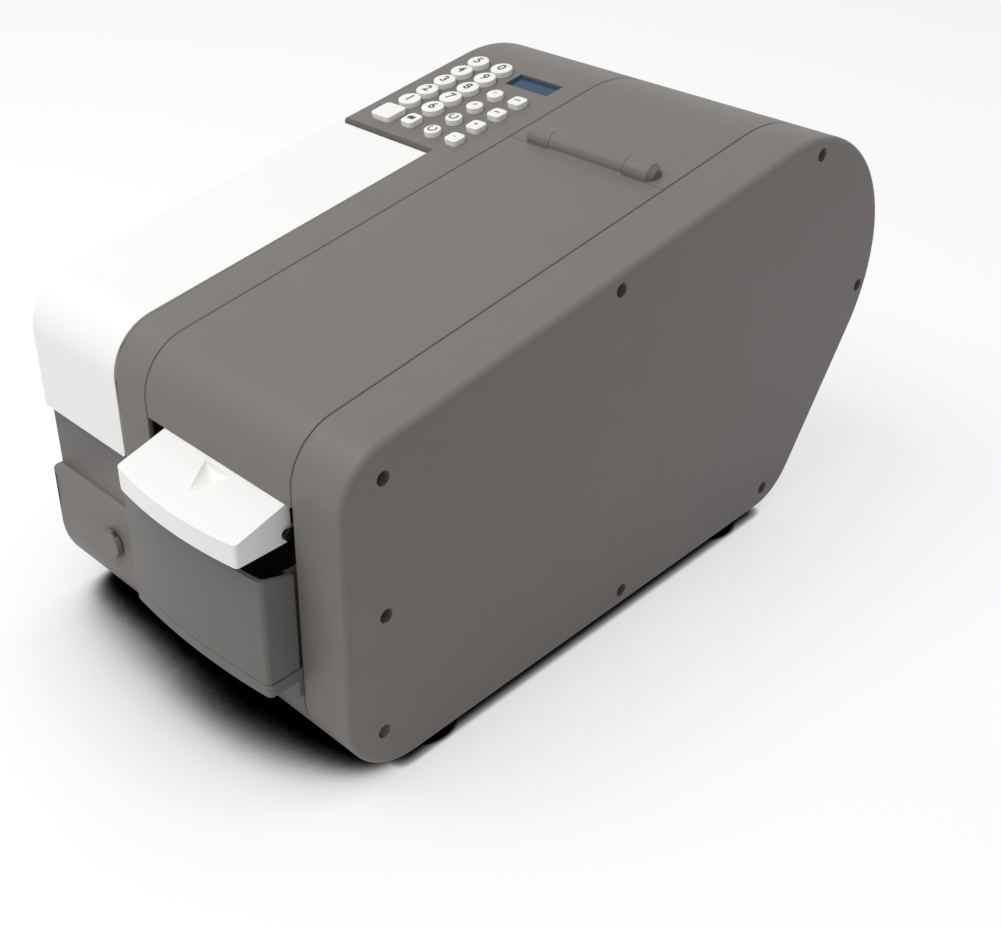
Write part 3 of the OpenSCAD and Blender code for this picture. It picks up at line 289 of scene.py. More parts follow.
def display_finish(name):
    """Display glass over a faint grid of dots."""
    finish = Finish(name, Specular_IOR_Level=0.15)
    rows = finish.add("ShaderNodeTexBrick", {"offset": 0.0}, Vector=finish.place, Scale=420.0,
                      Mortar_Size=0.08)
    cells = Value(finish.tree, rows.outputs["Fac"])
    glow = finish.noise(25.0, 2.0)
    base = finish.blend(glow, tone(30, 66, 92), tone(42, 78, 104))
    finish.colour(finish.blend((cells * 0.18).clamped(), base, tone(22, 50, 76)))
    finish.rough((glow * 0.06 + 0.2).clamped())
    return finish.bump(glow, 0.00001, 0.2)


def clear_finish(name):
    """Milky bottle plastic: mostly see-through, thicker looking in patches."""
    finish = Finish(name, IOR=1.45)
    haze = finish.noise(18.0, 4.0, 0.6)
    finish.colour(finish.blend(haze, tone(226, 234, 238), tone(205, 218, 226)))
    finish.rough((haze * 0.15 + 0.12).clamped())
    finish.feed(finish.shader.inputs["Alpha"], (haze * 0.2 + 0.62).clamped())
    return finish.bump(haze, 0.0004, 0.4)


def seen_rays(tree):
    """1 for rays from the camera and for those that glossy and clear surfaces send out."""
    path = tree.nodes.new("ShaderNodeLightPath")
    rays = [Value(tree, path.outputs[kind])
            for kind in ("Is Camera Ray", "Is Glossy Ray", "Is Transmission Ray")]
    return (rays[0] + rays[1] + rays[2]).clamped()


def floor_finish():
    """A white floor that keeps part of the object's real shadow, with painted shade from ambient
    occlusion: a painted shadow round the body and a painted dark line close under it.
    """
    finish = Finish("pale_floor", Roughness=0.9, Specular_IOR_Level=0.1)
    speck = finish.noise(3.0, 2.0)
    finish.colour(finish.blend(speck, (0.91,) * 3, (0.92,) * 3))
    # Ambient occlusion darkens the floor's colour: painted shade for a wide painted shadow round the
    # body and a painted dark line under its edges
    lean = finish.add("ShaderNodeCombineXYZ", X=0.30, Y=0.35, Z=0.89).outputs[0]
    nook = finish.add("ShaderNodeAmbientOcclusion", {"samples": 48}, Distance=CONTACT, Normal=lean)
    shade = finish.add("ShaderNodeValToRGB", {"stops": SHADE}, Fac=nook.outputs["AO"])
    edge = finish.add("ShaderNodeAmbientOcclusion", {"samples": 32}, Distance=EDGE_REACH)
    line = finish.add("ShaderNodeValToRGB", {"stops": EDGE_SHADE}, Fac=edge.outputs["AO"])
    black = (0.0, 0.0, 0.0)
    light = finish.blend(line.outputs[0], black, shade.outputs[0])
    glow = finish.add("ShaderNodeEmission", Color=light)
    dim = (Value(finish.tree, light) * 2.0).clamped()
    paper = finish.add("ShaderNodeBsdfDiffuse", Color=finish.blend(dim, black, (1.2, 1.2, 1.2)))
    sheet = finish.add("ShaderNodeMixShader", Fac=0.3)
    finish.tree.links.new(glow.outputs[0], sheet.inputs[1])
    finish.tree.links.new(paper.outputs[0], sheet.inputs[2])
    both = finish.add("ShaderNodeMixShader", Fac=seen_rays(finish.tree))
    finish.tree.links.new(finish.shader.outputs[0], both.inputs[1])
    finish.tree.links.new(sheet.outputs[0], both.inputs[2])
    output = finish.tree.nodes["Material Output"]
    finish.tree.links.new(both.outputs[0], output.inputs["Surface"])
    return finish.material


def add_world():
    world = bpy.data.worlds.new("studio")
    world.use_nodes = True
    bpy.context.scene.world = world
    tree = world.node_tree
    back = tree.nodes["Background"]
    back.inputs["Color"].default_value = (1, 1, 1, 1)
    tree.links.new((seen_rays(tree) * (1.0 - SKY) + SKY).socket, back.inputs["Strength"])


grey_plastic = moulded_plastic("grey_plastic", tone(122, 118, 115), tone(116, 112, 109), 0.50,
                               Specular_IOR_Level=0.3)
# A darker copy of the grey plastic: painted shade for the tank and the front base, which lie in the
# shadow of the exit cover and the right cover
painted_shade_grey = moulded_plastic("painted_shade_grey", tone(115, 113, 110), tone(109, 107, 104), 0.48,
                               Specular_IOR_Level=0.25)
white_plastic = moulded_plastic("white_plastic", tone(252, 252, 250), tone(247, 247, 245), 0.38,
                                0.00001)
key_plastic = moulded_plastic("key_plastic", tone(252, 252, 250), tone(244, 244, 242), 0.42, 0.00001)
key_print = moulded_plastic("key_print", tone(62, 60, 60), tone(78, 76, 75), 0.5, 0.00001)
black_plastic = moulded_plastic("black_plastic", tone(34, 34, 37), tone(44, 43, 46), 0.48)
roller_plastic = moulded_plastic("roller_plastic", tone(228, 228, 223), tone(212, 212, 206), 0.45,
                                 0.00002)
sheet_steel = sheet_metal("sheet_steel", tone(186, 189, 193), tone(160, 163, 167), 0.38,
                          (60.0, 1.0, 60.0))
pin_steel = sheet_metal("pin_steel", tone(205, 206, 208), tone(182, 184, 187), 0.22)
# Near-black steel: painted shade for the steel inside the body, where all lies in shadow, and for
# the exit cover's pin in its notch
dark_steel = sheet_metal("dark_steel", tone(52, 52, 54), tone(40, 40, 42), 0.5, (60.0, 1.0, 60.0))
# Near-black plastic: painted shade for the tank's inside and the step of its rim
tank_inside_painted_shade = moulded_plastic("tank_inside_painted_shade", tone(50, 49, 48), tone(42, 41, 40), 0.5)
screw_steel = sheet_metal("screw_steel", tone(96, 95, 95), tone(70, 69, 70), 0.42)
cast_aluminium = sheet_metal("cast_aluminium", tone(196, 198, 201), tone(172, 174, 178), 0.42)
foot_rubber = rubber_finish("foot_rubber", tone(34, 33, 32), tone(48, 46, 44))
roller_rubber = rubber_finish("roller_rubber", tone(52, 50, 48), tone(66, 63, 60), 0.7, 1500.0)
bristle_hair = rubber_finish("bristle_hair", tone(30, 28, 26), tone(52, 48, 44), 0.6, 2500.0)
brush_wood = wood_finish("brush_wood")
green_board = board_finish("green_board")
blue_display = display_finish("blue_display")
clear_bottle = clear_finish("clear_bottle")

FINISHES = {
    "grey_plastic": grey_plastic, "white_plastic": white_plastic, "key_plastic": key_plastic,
    "black_plastic": black_plastic, "bottle_plastic": clear_bottle, "sheet_steel": sheet_steel,
    "pin_steel": pin_steel, "screw_steel": screw_steel, "rubber": foot_rubber, "brush": brush_wood,
    "roller_rubber": roller_rubber, "roller_plastic": roller_plastic, "board_green": green_board,
    "display_blue": blue_display, "aluminium": cast_aluminium, "dark_steel": dark_steel,
}
# Nodes whose look isn't that of their material slot: the exit cover's pin is drawn near black, as
# painted shade in its notch
OWN_FINISH = {"exit_cover_pin": dark_steel}
SLOT = {part["node"]: part["material_slot"] for part in frame["record"]["subparts"]}
BODY = {node: body for body, names in frame["record"]["behaviour"]["bodies"].items()
        for node in names}


def finish_nodes():
    for name, piece in nodes.items():
        piece.data.materials.clear()
        piece.data.materials.append(OWN_FINISH.get(name) or FINISHES[SLOT[name]])
        smooth(piece.data, 32)


# Shapes

def top_z(y):
    """Height of the sloped top at a distance y behind the front, in the body's own frame."""
    return FRONT_H + y * math.tan(SLOPE)


def on_top(x, y, up=0.0):
    """The frame that lies on the sloped top at x, y, raised by up."""
    lift = Matrix.Translation((x, y + FRONT_Y, top_z(y) + FEET)) @ Matrix.Rotation(SLOPE, 4, "X")
    return lift @ Matrix.Translation((0, 0, up))


def side_outline():
    """Points round the body's side outline, front bottom first, in the counter frame."""
    step = 0.002
    front_z = FRONT_H + FRONT_R * math.tan(SLOPE) - FRONT_R / math.cos(SLOPE)
    roll_z = FRONT_H + ROLL_Y * math.tan(SLOPE) - ROLL_R / math.cos(SLOPE)
    lean = (math.cos(BACK_LEAN), -math.sin(BACK_LEAN))
    reach = lean[0] * ROLL_Y + lean[1] * roll_z + ROLL_R
    heel_y = (reach - HEEL_R - lean[1] * HEEL_R) / lean[0]
    top_turn, back_turn = 90 + math.degrees(SLOPE), -math.degrees(BACK_LEAN)
    arcs = [((TOE_R, TOE_R), TOE_R, 270, 180), ((FRONT_R, front_z), FRONT_R, 180, top_turn),
            ((ROLL_Y, roll_z), ROLL_R, top_turn, back_turn),
            ((heel_y, HEEL_R), HEEL_R, back_turn, -90)]
    corners = []
    for centre, radius, start, end in arcs:
        count = max(8, int(math.radians(abs(end - start)) * radius / step))
        for k in range(count + 1):
            angle = math.radians(start + (end - start) * k / count)
            corners.append((centre[0] + radius * math.cos(angle),
                            centre[1] + radius * math.sin(angle)))
    points = []
    for a, b in zip(corners, corners[1:] + corners[:1]):
        count = max(1, int(math.dist(a, b) / step))
        points += [(a[0] + (b[0] - a[0]) * k / count, a[1] + (b[1] - a[1]) * k / count)
                   for k in range(count)]
    return [(y + FRONT_Y, z + FEET) for y, z in points]


_points = side_outline()
OUTLINE = kdtree.KDTree(len(_points))
for _k, (_y, _z) in enumerate(_points):
    OUTLINE.insert((0, _y, _z), _k)
OUTLINE.balance()


def smooth(mesh, angle):
    mesh.shade_smooth()
    mesh.set_sharp_from_angle(angle=math.radians(angle))


def settle(mesh):
    """Gives each corner the area-weighted normal of the faces it blends into, to keep flats flat."""
    bm = bmesh.new()
    bm.from_mesh(mesh)
    place = {}
    for face in bm.faces:
        for loop in face.loops:
            place[loop] = len(place)
    normals = [None] * len(place)
    for vert in bm.verts:
        left = list(vert.link_loops)
        while left:
            fan, queue = [], [left.pop(0)]
            while queue:
                loop = queue.pop()
                fan.append(loop)
                for edge in (loop.edge, loop.link_loop_prev.edge):
                    if not edge.smooth or len(edge.link_faces) != 2:
                        continue
                    for near in [other for other in left if other.face in edge.link_faces]:
                        left.remove(near)
                        queue.append(near)
            total = sum((loop.face.normal * loop.face.calc_area() for loop in fan), Vector())
            if total.length < 1e-14:
                total = fan[0].face.normal
            for loop in fan:
                normals[place[loop]] = total.normalized()
    bm.free()
    mesh.normals_split_custom_set(normals)


def as_object(name, bm, finish, body, node=None, angle=32):
    """Turns a bmesh into a finished piece that rides a body and may stand for a node."""
    mesh = bpy.data.meshes.new(name)
    bm.to_mesh(mesh)
    bm.free()
    mesh.materials.append(finish)
    smooth(mesh, angle)
    settle(mesh)
    piece = bpy.data.objects.new(name, mesh)
    bpy.context.collection.objects.link(piece)
    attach(piece, body)
    if node:
        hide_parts(node)
    return piece


def merged(node):
    bm = bmesh.new()
    bm.from_mesh(nodes[node].data)
    bmesh.ops.remove_doubles(bm, verts=bm.verts, dist=2e-6)
    bmesh.ops.dissolve_limit(bm, angle_limit=math.radians(0.15), verts=bm.verts, edges=bm.edges)
    return bm


def soften(bm, pick, radius, segments=4, steep=25):
    """Rounds the edges that pick accepts, given their two ends."""
    bm.normal_update()
    chosen = [edge for edge in bm.edges if len(edge.link_faces) == 2
              and edge.calc_face_angle(0.0) > math.radians(steep)
              and pick(edge.verts[0].co, edge.verts[1].co)]
    if chosen:
        bmesh.ops.bevel(bm, geom=chosen, offset=radius, offset_type="OFFSET", segments=segments,
                        profile=0.5, affect="EDGES", clamp_overlap=True)
        bmesh.ops.dissolve_degenerate(bm, dist=1e-6, edges=bm.edges)


def on_rim(x, reach=0.0006):
    """Picks edges on the body's outer outline in the plane at x."""
    def pick(a, b):
        if abs(a.x - x) > 1e-5 or abs(b.x - x) > 1e-5:
            return False
        return all(OUTLINE.find((0, p.y, p.z))[2] < reach + 0.001 for p in (a, b))
    return pick


def everywhere(a, b):
    return True


def refined(node, rounds, finish=None, shape=None):
    """The finished piece for a node: its edges rounded as rounds lists them, then shaped."""
    bm = merged(node)
    for pick, radius, segments in rounds:
        soften(bm, pick, radius, segments)
    if shape:
        shape(bm)
    return as_object(node + "_finished", bm, finish or FINISHES[SLOT[node]], BODY[node], node)


def near_x(a, b, *places):
    return any(abs(a.x - x) < 1e-5 and abs(b.x - x) < 1e-5 for x in places)


def lower_cover_rim(a, b):
    """The lower cover's left rim, up to where its rounded top begins."""
    low = max(a.z, b.z) < FEET + LOWER_H - 0.005
    return near_x(a, b, -HALF_W) and on_rim(-HALF_W, 0.003)(a, b) and low


def upright_front(a, b):
    """Upright edges ahead of the covers' front."""
    return max(a.y, b.y) < FRONT_Y - 0.005 and abs(a.z - b.z) > 0.006


def white_corner(a, b):
    """The white cover's lower corner beside the strip."""
    front = max(a.y, b.y) < FRONT_Y + 0.004
    return near_x(a, b, STRIP_X - SEAM_GAP) and max(a.z, b.z) < WHITE_LOW and front


def knob_rim(a, b):
    """The knob's front rim, and not the corner where its spindle enters the cover."""
    return max(a.y, b.y) < FRONT_Y - 0.0055


def hinge_bulge(a, b):
    """Edges of the hinge barrel over the top surface."""
    return all(p.z > top_z(p.y - FRONT_Y) + FEET + 0.0012 for p in (a, b))


def paint_tank_shade(mesh):
    """Paints the tank's inner faces, and the step of its rim behind the front, near black as painted
    shade.
    """
    mesh.materials.append(tank_inside_painted_shade)
    low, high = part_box("water_tank")
    middle = (Vector(low) + Vector(high)) / 2
    # Inner faces, and the rim's step above the tank's middle, take the painted shade
    for face in mesh.polygons:
        inner = face.normal.dot(face.center - middle) < -0.001 and face.center.z > low[2] + 0.002
        step = abs(face.center.y - FRONT_Y + 0.0018) < 0.0019 and face.normal.z > 0.3
        if inner or (step and face.center.z > middle.z):
            face.material_index = 1


def eased(share):
    share = max(0.0, min(share, 1.0))
    return share * share * (3 - 2 * share)


def draw_in_front(bm):
    """Leaves a rounded lip along the lower cover's top and draws the front face in under it."""
    front = FRONT_Y - LOWER_PROUD
    top, drop, depth, low, fade = FEET + 0.090, 0.008, 0.0010, FEET + 0.050, 0.022
    rows = 34
    for k in range(rows + 1):
        faces = [face for face in bm.faces
                 if face.normal.y < -0.9 and face.calc_center_median().y < front + 0.0005]
        around = faces + list(dict.fromkeys(edge for face in faces for edge in face.edges))
        around += list(dict.fromkeys(vert for face in faces for vert in face.verts))
        bmesh.ops.bisect_plane(bm, geom=around, plane_co=(0, 0, low + (top - low) * k / rows),
                               plane_no=(0, 0, 1))
        bm.normal_update()
    for vert in bm.verts:
        near = 1.0 - (vert.co.y - front) / LOWER_PROUD
        if near > 0.0:
            share = eased((top - vert.co.z) / drop) * eased((vert.co.z - low) / fade)
            vert.co.y += depth * share * min(near, 1.0)


def add_covers():
    refined("right_cover", [(on_rim(HALF_W), 0.0045, 6), (on_rim(RIGHT_SEAM), SEAM_ROUND, 3)])
    refined("left_housing", [(on_rim(UPPER_LEFT), 0.003, 5), (on_rim(STRIP_X), 0.003, 5),
                             (on_rim(LEFT_SEAM), SEAM_ROUND, 3)])
    between = [(on_rim(LEFT_SEAM + SEAM_GAP), SEAM_ROUND, 3),
               (on_rim(RIGHT_SEAM - SEAM_GAP), SEAM_ROUND, 3)]
    refined("rear_cover", between + [(hinge_bulge, 0.001, 3)])
    refined("lid", between + [(hinge_bulge, 0.0003, 2)])
    refined("bottle_cover", [(white_corner, 0.0025, 4), (on_rim(UPPER_LEFT), 0.004, 6),
                             (on_rim(STRIP_X - SEAM_GAP), 0.0008, 2)])
    refined("left_lower_cover", [(lower_cover_rim, 0.004, 5)], shape=draw_in_front)
    # The front base and the tank take the darker grey, which is painted shade
    refined("front_base", [(upright_front, 0.003, 4), (everywhere, 0.0008, 2)], painted_shade_grey)
    tank = refined("water_tank", [(upright_front, 0.0035, 5), (everywhere, 0.0006, 2)],
                   painted_shade_grey)
    paint_tank_shade(tank.data)
    refined("exit_cover", [(upright_front, 0.002, 4), (everywhere, 0.0008, 3)])
    refined("front_knob", [(knob_rim, 0.0009, 3)])
    refined("water_bottle", [(everywhere, 0.006, 5)])


# Rollers and pulleys

def turned(name, y, z, profile, finish, body, node=None, segments=64):
    """A closed solid turned about the cross line through y, z; profile lists x and radius."""
    bm = bmesh.new()
    rings = []
    for x, radius in profile:
        rings.append([bm.verts.new((x, y + radius * math.cos(2 * math.pi * k / segments),
                                    z + radius * math.sin(2 * math.pi * k / segments)))
                      for k in range(segments)])
    for one, two in zip(rings, rings[1:]):
        for k in range(segments):
            n = (k + 1) % segments
            bm.faces.new((one[k], one[n], two[n], two[k]))
    bm.faces.new(rings[0])
    bm.faces.new(rings[-1])
    bmesh.ops.recalc_face_normals(bm, faces=bm.faces)
    piece = as_object(name, bm, finish, body, node)


def rod_profile(x0, x1, radius, edge=0.0005):
    """A rod with both rims chamfered."""
    return [(x0, radius - edge), (x0 + edge, radius), (x1 - edge, radius), (x1, radius - edge)]


def sleeve_profile(x0, x1, radius, groove=0.0, pitch=0.004):
    """A sleeve with rounded rims and, where asked, shallow grooves round it."""
    edge = 0.0008
    points = [(x0, radius - edge), (x0 + edge * 0.3, radius - edge * 0.3), (x0 + edge, radius)]
    if groove:
        count = int((x1 - x0 - 0.006) / pitch)
        first = (x0 + x1 - (count - 1) * pitch) / 2
        for k in range(count):
            x = first + k * pitch
            points += [(x - 0.0005, radius), (x - 0.0003, radius - groove),
                       (x + 0.0003, radius - groove), (x + 0.0005, radius)]
    return points + [(x1 - edge, radius), (x1 - edge * 0.3, radius - edge * 0.3),
                     (x1, radius - edge)]


def pulley_profile(x0, x1, radius):
    """A pulley whose two rims stand over a flat belt seat."""
    rim, step, chamfer = 0.0007, 0.0002, 0.0004
    return [(x0, radius - chamfer), (x0 + step, radius), (x0 + rim, radius),
            (x0 + rim + step, radius - step), (x1 - rim - step, radius - step),
            (x1 - rim, radius), (x1 - step, radius), (x1, radius - chamfer)]


def axle(node):
    """Where a roller's axle lies, y and z, and how far it runs across."""
    low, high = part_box(node)
    return (low[1] + high[1]) / 2, (low[2] + high[2]) / 2, low[0], high[0]


SLEEVE = (0.0, 0.089)
PULLEY = (0.101, 0.106)
TUBE = (-0.007, 0.096)


def add_rollers():
    y, z, x0, x1 = axle("feed_roller")
    turned("feed_roller_shaft", y, z, rod_profile(x0, x1, 0.004), pin_steel, "feed_roller",
           "feed_roller")
    turned("feed_roller_sleeve", y, z, sleeve_profile(*SLEEVE, 0.014, 0.0005), roller_rubber,
           "feed_roller")
    turned("feed_pulley", y, z, pulley_profile(*PULLEY, 0.012), cast_aluminium, "feed_roller")
    y, z, x0, x1 = axle("pressure_roller")
    turned("pressure_roller_shaft", y, z, rod_profile(x0, x1, 0.003), pin_steel, "pressure_roller",
           "pressure_roller")
    turned("pressure_roller_sleeve", y, z, sleeve_profile(*SLEEVE, 0.010), roller_rubber,
           "pressure_roller")
    y, z, x0, x1 = axle("motor_pulley")
    turned("motor_shaft", y, z, rod_profile(x0, x1, 0.0025), pin_steel, "motor_pulley",
           "motor_pulley")
    turned("motor_pulley_wheel", y, z, pulley_profile(*PULLEY, 0.008), cast_aluminium,
           "motor_pulley")
    for end in ("front", "rear"):
        node = end + "_roll_roller"
        y, z, x0, x1 = axle(node)
        turned(node + "_shaft", y, z, rod_profile(x0, x1, 0.003), pin_steel, node, node)
        turned(node + "_tube", y, z, sleeve_profile(*TUBE, 0.009, 0.0004, 0.012), roller_plastic,
               node)


# Keys

# Each key's place x, y behind the front, its form, width and length
KEYS = {"key_start": (-0.114, 0.274, "square", 0.018, 0.018),
        "key_feed": (-0.0916, 0.274, "square", 0.011, 0.013)}
for _i in range(10):
    KEYS["key_number_%d" % ((_i + 1) % 10)] = ((-0.114, -0.0916)[_i // 5], 0.294 + (_i % 5) * 0.017,
                                               "round", 0.0155, 0.0155)
for _i in range(4):
    KEYS["key_round_%d" % (_i + 1)] = (-0.0683, 0.2705 + _i * 0.020, "round", 0.0115, 0.0115)
    KEYS["key_square_%d" % (_i + 1)] = (-0.0479, 0.2705 + _i * 0.020, "square", 0.0112, 0.0112)
# How far the keytops stand over the deck, and the round of the rocker's face
KEY_UP = 0.0042
ROCKER_R = 0.060


def ring_points(kind, width, length, inset, corner=0.003, count=40):
    """Points round a key's outline, moved inwards by inset."""
    if kind == "round":
        r = width / 2 - inset
        return [(r * math.cos(2 * math.pi * k / count), r * math.sin(2 * math.pi * k / count))
                for k in range(count)]
    points = []
    c = max(corner - inset, 0.0004)
    w, l = width / 2 - inset - c, length / 2 - inset - c
    quarter = count // 4
    for cx, cy, start in ((w, l, 0), (-w, l, 90), (-w, -l, 180), (w, -l, 270)):
        for k in range(quarter):
            a = math.radians(start + 90 * k / (quarter - 1))
            points.append((cx + c * math.cos(a), cy + c * math.sin(a)))
    return points


def add_key(name, x, y, kind, width, length):
    """A keycap: straight skirt, rounded shoulder and a shallow crowned top."""
    bm = bmesh.new()
    place = on_top(x, y)
    shoulder = 0.0005
    crown = 0.0004
    levels = [(0.0004, -0.0043), (0.0004 - 0.0008, -0.0043), (-0.0004, -0.0034), (0.0, -0.0033),
              (0.0, KEY_UP - crown - shoulder)]
    for k in range(1, 6):
        a = math.radians(90 * k / 5)
        levels.append((shoulder * (1 - math.cos(a)),
                       KEY_UP - crown - shoulder * (1 - math.sin(a))))
    levels += [(0.0012, KEY_UP - 0.00025), (width * 0.25, KEY_UP - 0.0001), (width * 0.42, KEY_UP)]
    rings = []
    for inset, z in levels:
        rings.append([bm.verts.new(place @ Vector((px, py, z)))
                      for px, py in ring_points(kind, width, length, inset)])
    for low, high in zip(rings, rings[1:]):
        for k in range(len(low)):
            n = (k + 1) % len(low)
            bm.faces.new((low[k], low[n], high[n], high[k]))
    bm.faces.new(rings[-1])
    stem = ring_points("round", width / 2, width / 2, 0.0)
    bottom = -0.0072
    bm.faces.new(list(reversed(rings[0])))
    high = [bm.verts.new(place @ Vector((px, py, -0.0043))) for px, py in stem]
    low = [bm.verts.new(place @ Vector((px, py, bottom))) for px, py in stem]
    for k in range(len(stem)):
        n = (k + 1) % len(stem)
        bm.faces.new((low[k], low[n], high[n], high[k]))
    bm.faces.new(list(reversed(low)))
    bm.faces.new(high)
    bmesh.ops.recalc_face_normals(bm, faces=bm.faces)
    as_object(name + "_cap", bm, key_plastic, BODY[name], name, 40)


def realized(maker):
    """The mesh that a curve or a carrier of modifiers makes, once the maker is gone."""
    depsgraph = bpy.context.evaluated_depsgraph_get()
    mesh = bpy.data.meshes.new_from_object(maker.evaluated_get(depsgraph))
    bpy.data.objects.remove(maker)
    return mesh


def printed(name, words, place, size, body, finish, bold=0.0):
    """A digit or sign a hair's breadth thick, printed where place puts its middle."""
    curve = bpy.data.curves.new(name, "FONT")
    curve.body = words
    curve.size = size
    curve.align_x = "CENTER"
    curve.align_y = "CENTER"
    curve.extrude = 0.00002
    curve.offset = bold
    writing = bpy.data.objects.new(name + "_curve", curve)
    bpy.context.collection.objects.link(writing)
    mesh = realized(writing)
    mesh.transform(place)
    mesh.materials.clear()
    mesh.materials.append(finish)
    piece = bpy.data.objects.new(name, mesh)
    bpy.context.collection.objects.link(piece)
    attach(piece, body)


def printed_ring(name, x, y, radius, thick, body, opening=0.0):
    """A ring sign printed on a key's top."""
    bm = bmesh.new()
    place = on_top(x, y, KEY_UP)
    count = 32
    rows = []
    for k in range(count + 1):
        a = opening / 2 + (2 * math.pi - opening) * k / count + math.pi / 2
        rows.append([bm.verts.new(place @ Vector((r * math.cos(a), r * math.sin(a), z)))
                     for r, z in ((radius - thick, 0.0), (radius, 0.0),
                                  (radius, 0.00003), (radius - thick, 0.00003))])
    for one, two in zip(rows, rows[1:]):
        for k in range(4):
            n = (k + 1) % 4
            bm.faces.new((one[k], one[n], two[n], two[k]))
    bm.faces.new(rows[0])
    bm.faces.new(rows[-1])
    bmesh.ops.recalc_face_normals(bm, faces=bm.faces)
    piece = as_object(name, bm, key_print, body)


def printed_bar(name, place, wide, deep, body):
    """A small filled bar printed on a key's top."""
    bm = bmesh.new()
    for vert in bmesh.ops.create_cube(bm, size=1.0)["verts"]:
        vert.co = place @ Vector((vert.co.x * wide, vert.co.y * deep,
                                  vert.co.z * 0.00004 + 0.00002))
    soften(bm, everywhere, 0.00001, 1)
    piece = as_object(name, bm, key_print, body)


# Bars printed on keys: width, depth and how far aside
SIGNS = {"key_feed": (0.0055, 0.0040, 0.0), "key_square_1": (0.0022, 0.0008, 0.0),
         "key_square_2": (0.0022, 0.0016, 0.0), "key_square_3": (0.0042, 0.0012, 0.0),
         "key_square_4": (0.0052, 0.0010, 0.0)}


def add_keypad():
    for name, (x, y, kind, width, length) in KEYS.items():
        add_key(name, x, y, kind, width, length)
        if name.startswith("key_number"):
            printed("digit_" + name[-1], name[-1], on_top(x, y, KEY_UP), 0.0105, name, key_print,
                    0.00022)
    for k, sign in ((3, "+"), (4, "−")):
        x, y = KEYS["key_round_%d" % k][:2]
        printed("sign_%d" % k, sign, on_top(x, y, KEY_UP), 0.0075, "key_round_%d" % k, key_print)
    for k in (1, 2):
        x, y = KEYS["key_round_%d" % k][:2]
        printed_ring("ring_sign_%d" % k, x, y, 0.0034, 0.0010, "key_round_%d" % k, 1.0)
    for name, (wide, deep, aside) in SIGNS.items():
        x, y = KEYS[name][:2]
        printed_bar("sign_" + name, on_top(x + aside, y, KEY_UP), wide, deep, name)


def add_rocker_marks():
    """I and O on the two halves of the rocker's rounded face."""
    low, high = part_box("power_rocker")
    middle = Vector((low[0] + ROCKER_R, (low[1] + high[1]) / 2, (low[2] + high[2]) / 2))
    for name, word, aside in (("rocker_mark_on", "I", 0.0055), ("rocker_mark_off", "O", -0.0055)):
        lean = math.asin(aside / ROCKER_R)
        out = Vector((-math.cos(lean), math.sin(lean), 0.0))
        up = Vector((0.0, 0.0, 1.0))
        turn = Matrix((up.cross(out), up, out)).transposed()
        place = Matrix.Translation(middle + out * (ROCKER_R + 0.00002)) @ turn.to_4x4()
        printed(name, word, place, 0.006, "power_rocker", key_plastic)


# Bristles

def node_group(name, sizes):
    group = bpy.data.node_groups.new(name, "GeometryNodeTree")
    group.is_modifier = True
    group.interface.new_socket("Geometry", in_out="OUTPUT", socket_type="NodeSocketGeometry")
    ids = {}
    for key, (kind, value) in sizes.items():
        socket = group.interface.new_socket(key, in_out="INPUT", socket_type=kind)
        socket.default_value = value
        ids[key] = socket.identifier
    return group, ids


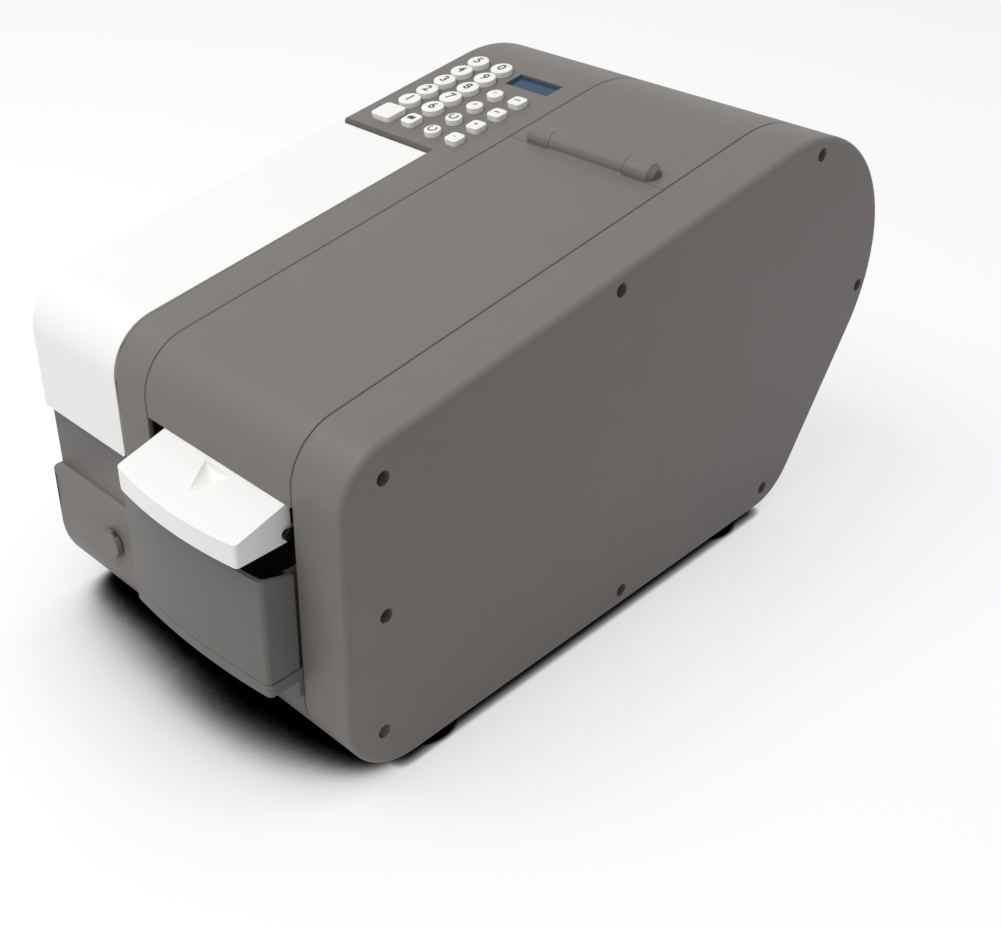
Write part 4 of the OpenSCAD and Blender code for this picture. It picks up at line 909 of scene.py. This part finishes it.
def bristle_block(name, low, high, finish):
    """Rows of bristles between two corners, made by one Geometry Nodes tree."""
    group, ids = node_group("bristle_rows", {
        "Width": ("NodeSocketFloat", 0.09), "Depth": ("NodeSocketFloat", 0.01),
        "Length": ("NodeSocketFloat", 0.03), "Across": ("NodeSocketInt", 60),
        "Rows": ("NodeSocketInt", 7), "Thickness": ("NodeSocketFloat", 0.00055)})
    make, link = group.nodes.new, group.links.new
    inputs, output = make("NodeGroupInput"), make("NodeGroupOutput")
    grid, hair = make("GeometryNodeMeshGrid"), make("GeometryNodeMeshCone")
    spread, lean = make("GeometryNodeInstanceOnPoints"), make("FunctionNodeRandomValue")
    real, paint = make("GeometryNodeRealizeInstances"), make("GeometryNodeSetMaterial")
    link(inputs.outputs["Width"], grid.inputs["Size X"])
    link(inputs.outputs["Depth"], grid.inputs["Size Y"])
    link(inputs.outputs["Across"], grid.inputs["Vertices X"])
    link(inputs.outputs["Rows"], grid.inputs["Vertices Y"])
    hair.inputs["Vertices"].default_value = 5
    hair.inputs["Radius Top"].default_value = 0.0003
    link(inputs.outputs["Thickness"], hair.inputs["Radius Bottom"])
    link(inputs.outputs["Length"], hair.inputs["Depth"])
    lean.data_type = "FLOAT_VECTOR"
    lean.inputs[0].default_value = (-0.035, -0.035, 0.0)
    lean.inputs[1].default_value = (0.035, 0.035, 6.28)
    lean.inputs["Seed"].default_value = 4
    link(grid.outputs["Mesh"], spread.inputs["Points"])
    link(hair.outputs["Mesh"], spread.inputs["Instance"])
    link(lean.outputs[0], spread.inputs["Rotation"])
    link(spread.outputs["Instances"], real.inputs["Geometry"])
    link(real.outputs["Geometry"], paint.inputs["Geometry"])
    paint.inputs["Material"].default_value = finish
    link(paint.outputs["Geometry"], output.inputs["Geometry"])
    size = Vector(high) - Vector(low)
    carrier = bpy.data.objects.new(name + "_rows", bpy.data.meshes.new(name + "_rows"))
    bpy.context.collection.objects.link(carrier)
    rows = carrier.modifiers.new("rows", "NODES")
    rows.node_group = group
    for key, value in (("Width", size.x - 0.002), ("Depth", size.y - 0.002),
                       ("Length", size.z - 0.0004)):
        rows[ids[key]] = value
    mesh = realized(carrier)
    mesh.transform(Matrix.Translation(((low[0] + high[0]) / 2, (low[1] + high[1]) / 2, low[2])))
    piece = bpy.data.objects.new(name, mesh)
    bpy.context.collection.objects.link(piece)
    return piece


def add_brushes():
    low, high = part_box("brushes")
    back_top = FEET + 0.0728 + 0.040
    for number, y in enumerate((0.034, 0.058)):
        near, far = y + FRONT_Y - 0.006, y + FRONT_Y + 0.006
        bm = bmesh.new()
        made = bmesh.ops.create_cube(bm, size=1.0)["verts"]
        size = Vector((high[0] - low[0], far - near, back_top - low[2]))
        middle = Vector(((low[0] + high[0]) / 2, (near + far) / 2, (back_top + low[2]) / 2))
        for vert in made:
            vert.co = Vector((vert.co.x * size.x, vert.co.y * size.y, vert.co.z * size.z)) + middle
        soften(bm, everywhere, 0.0012, 3)
        back = as_object("brush_back_%d" % (number + 1), bm, brush_wood, "tank",
                         "brushes" if number == 0 else None)
        hairs = bristle_block("bristles_%d" % (number + 1), (low[0] + 0.001, near, back_top - 0.002),
                              (high[0] - 0.001, far, high[2]), bristle_hair)
        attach(hairs, "tank")


# Floor

def add_floor():
    bm = bmesh.new()
    bmesh.ops.create_grid(bm, x_segments=1, y_segments=1, size=8.0)
    mesh = bpy.data.meshes.new("floor")
    bm.to_mesh(mesh)
    bm.free()
    mesh.materials.append(floor_finish())
    floor = bpy.data.objects.new("floor", mesh)
    bpy.context.collection.objects.link(floor)


add_camera()
bpy.context.scene.view_settings.view_transform = "Standard"
add_world()
add_lamp("key_lamp", (-0.45, -0.95, 2.1), (0.0, 0.0, 0.1), 1.6, 30.0)
finish_nodes()
add_covers()
add_keypad()
add_rocker_marks()
add_brushes()
add_rollers()
add_floor()
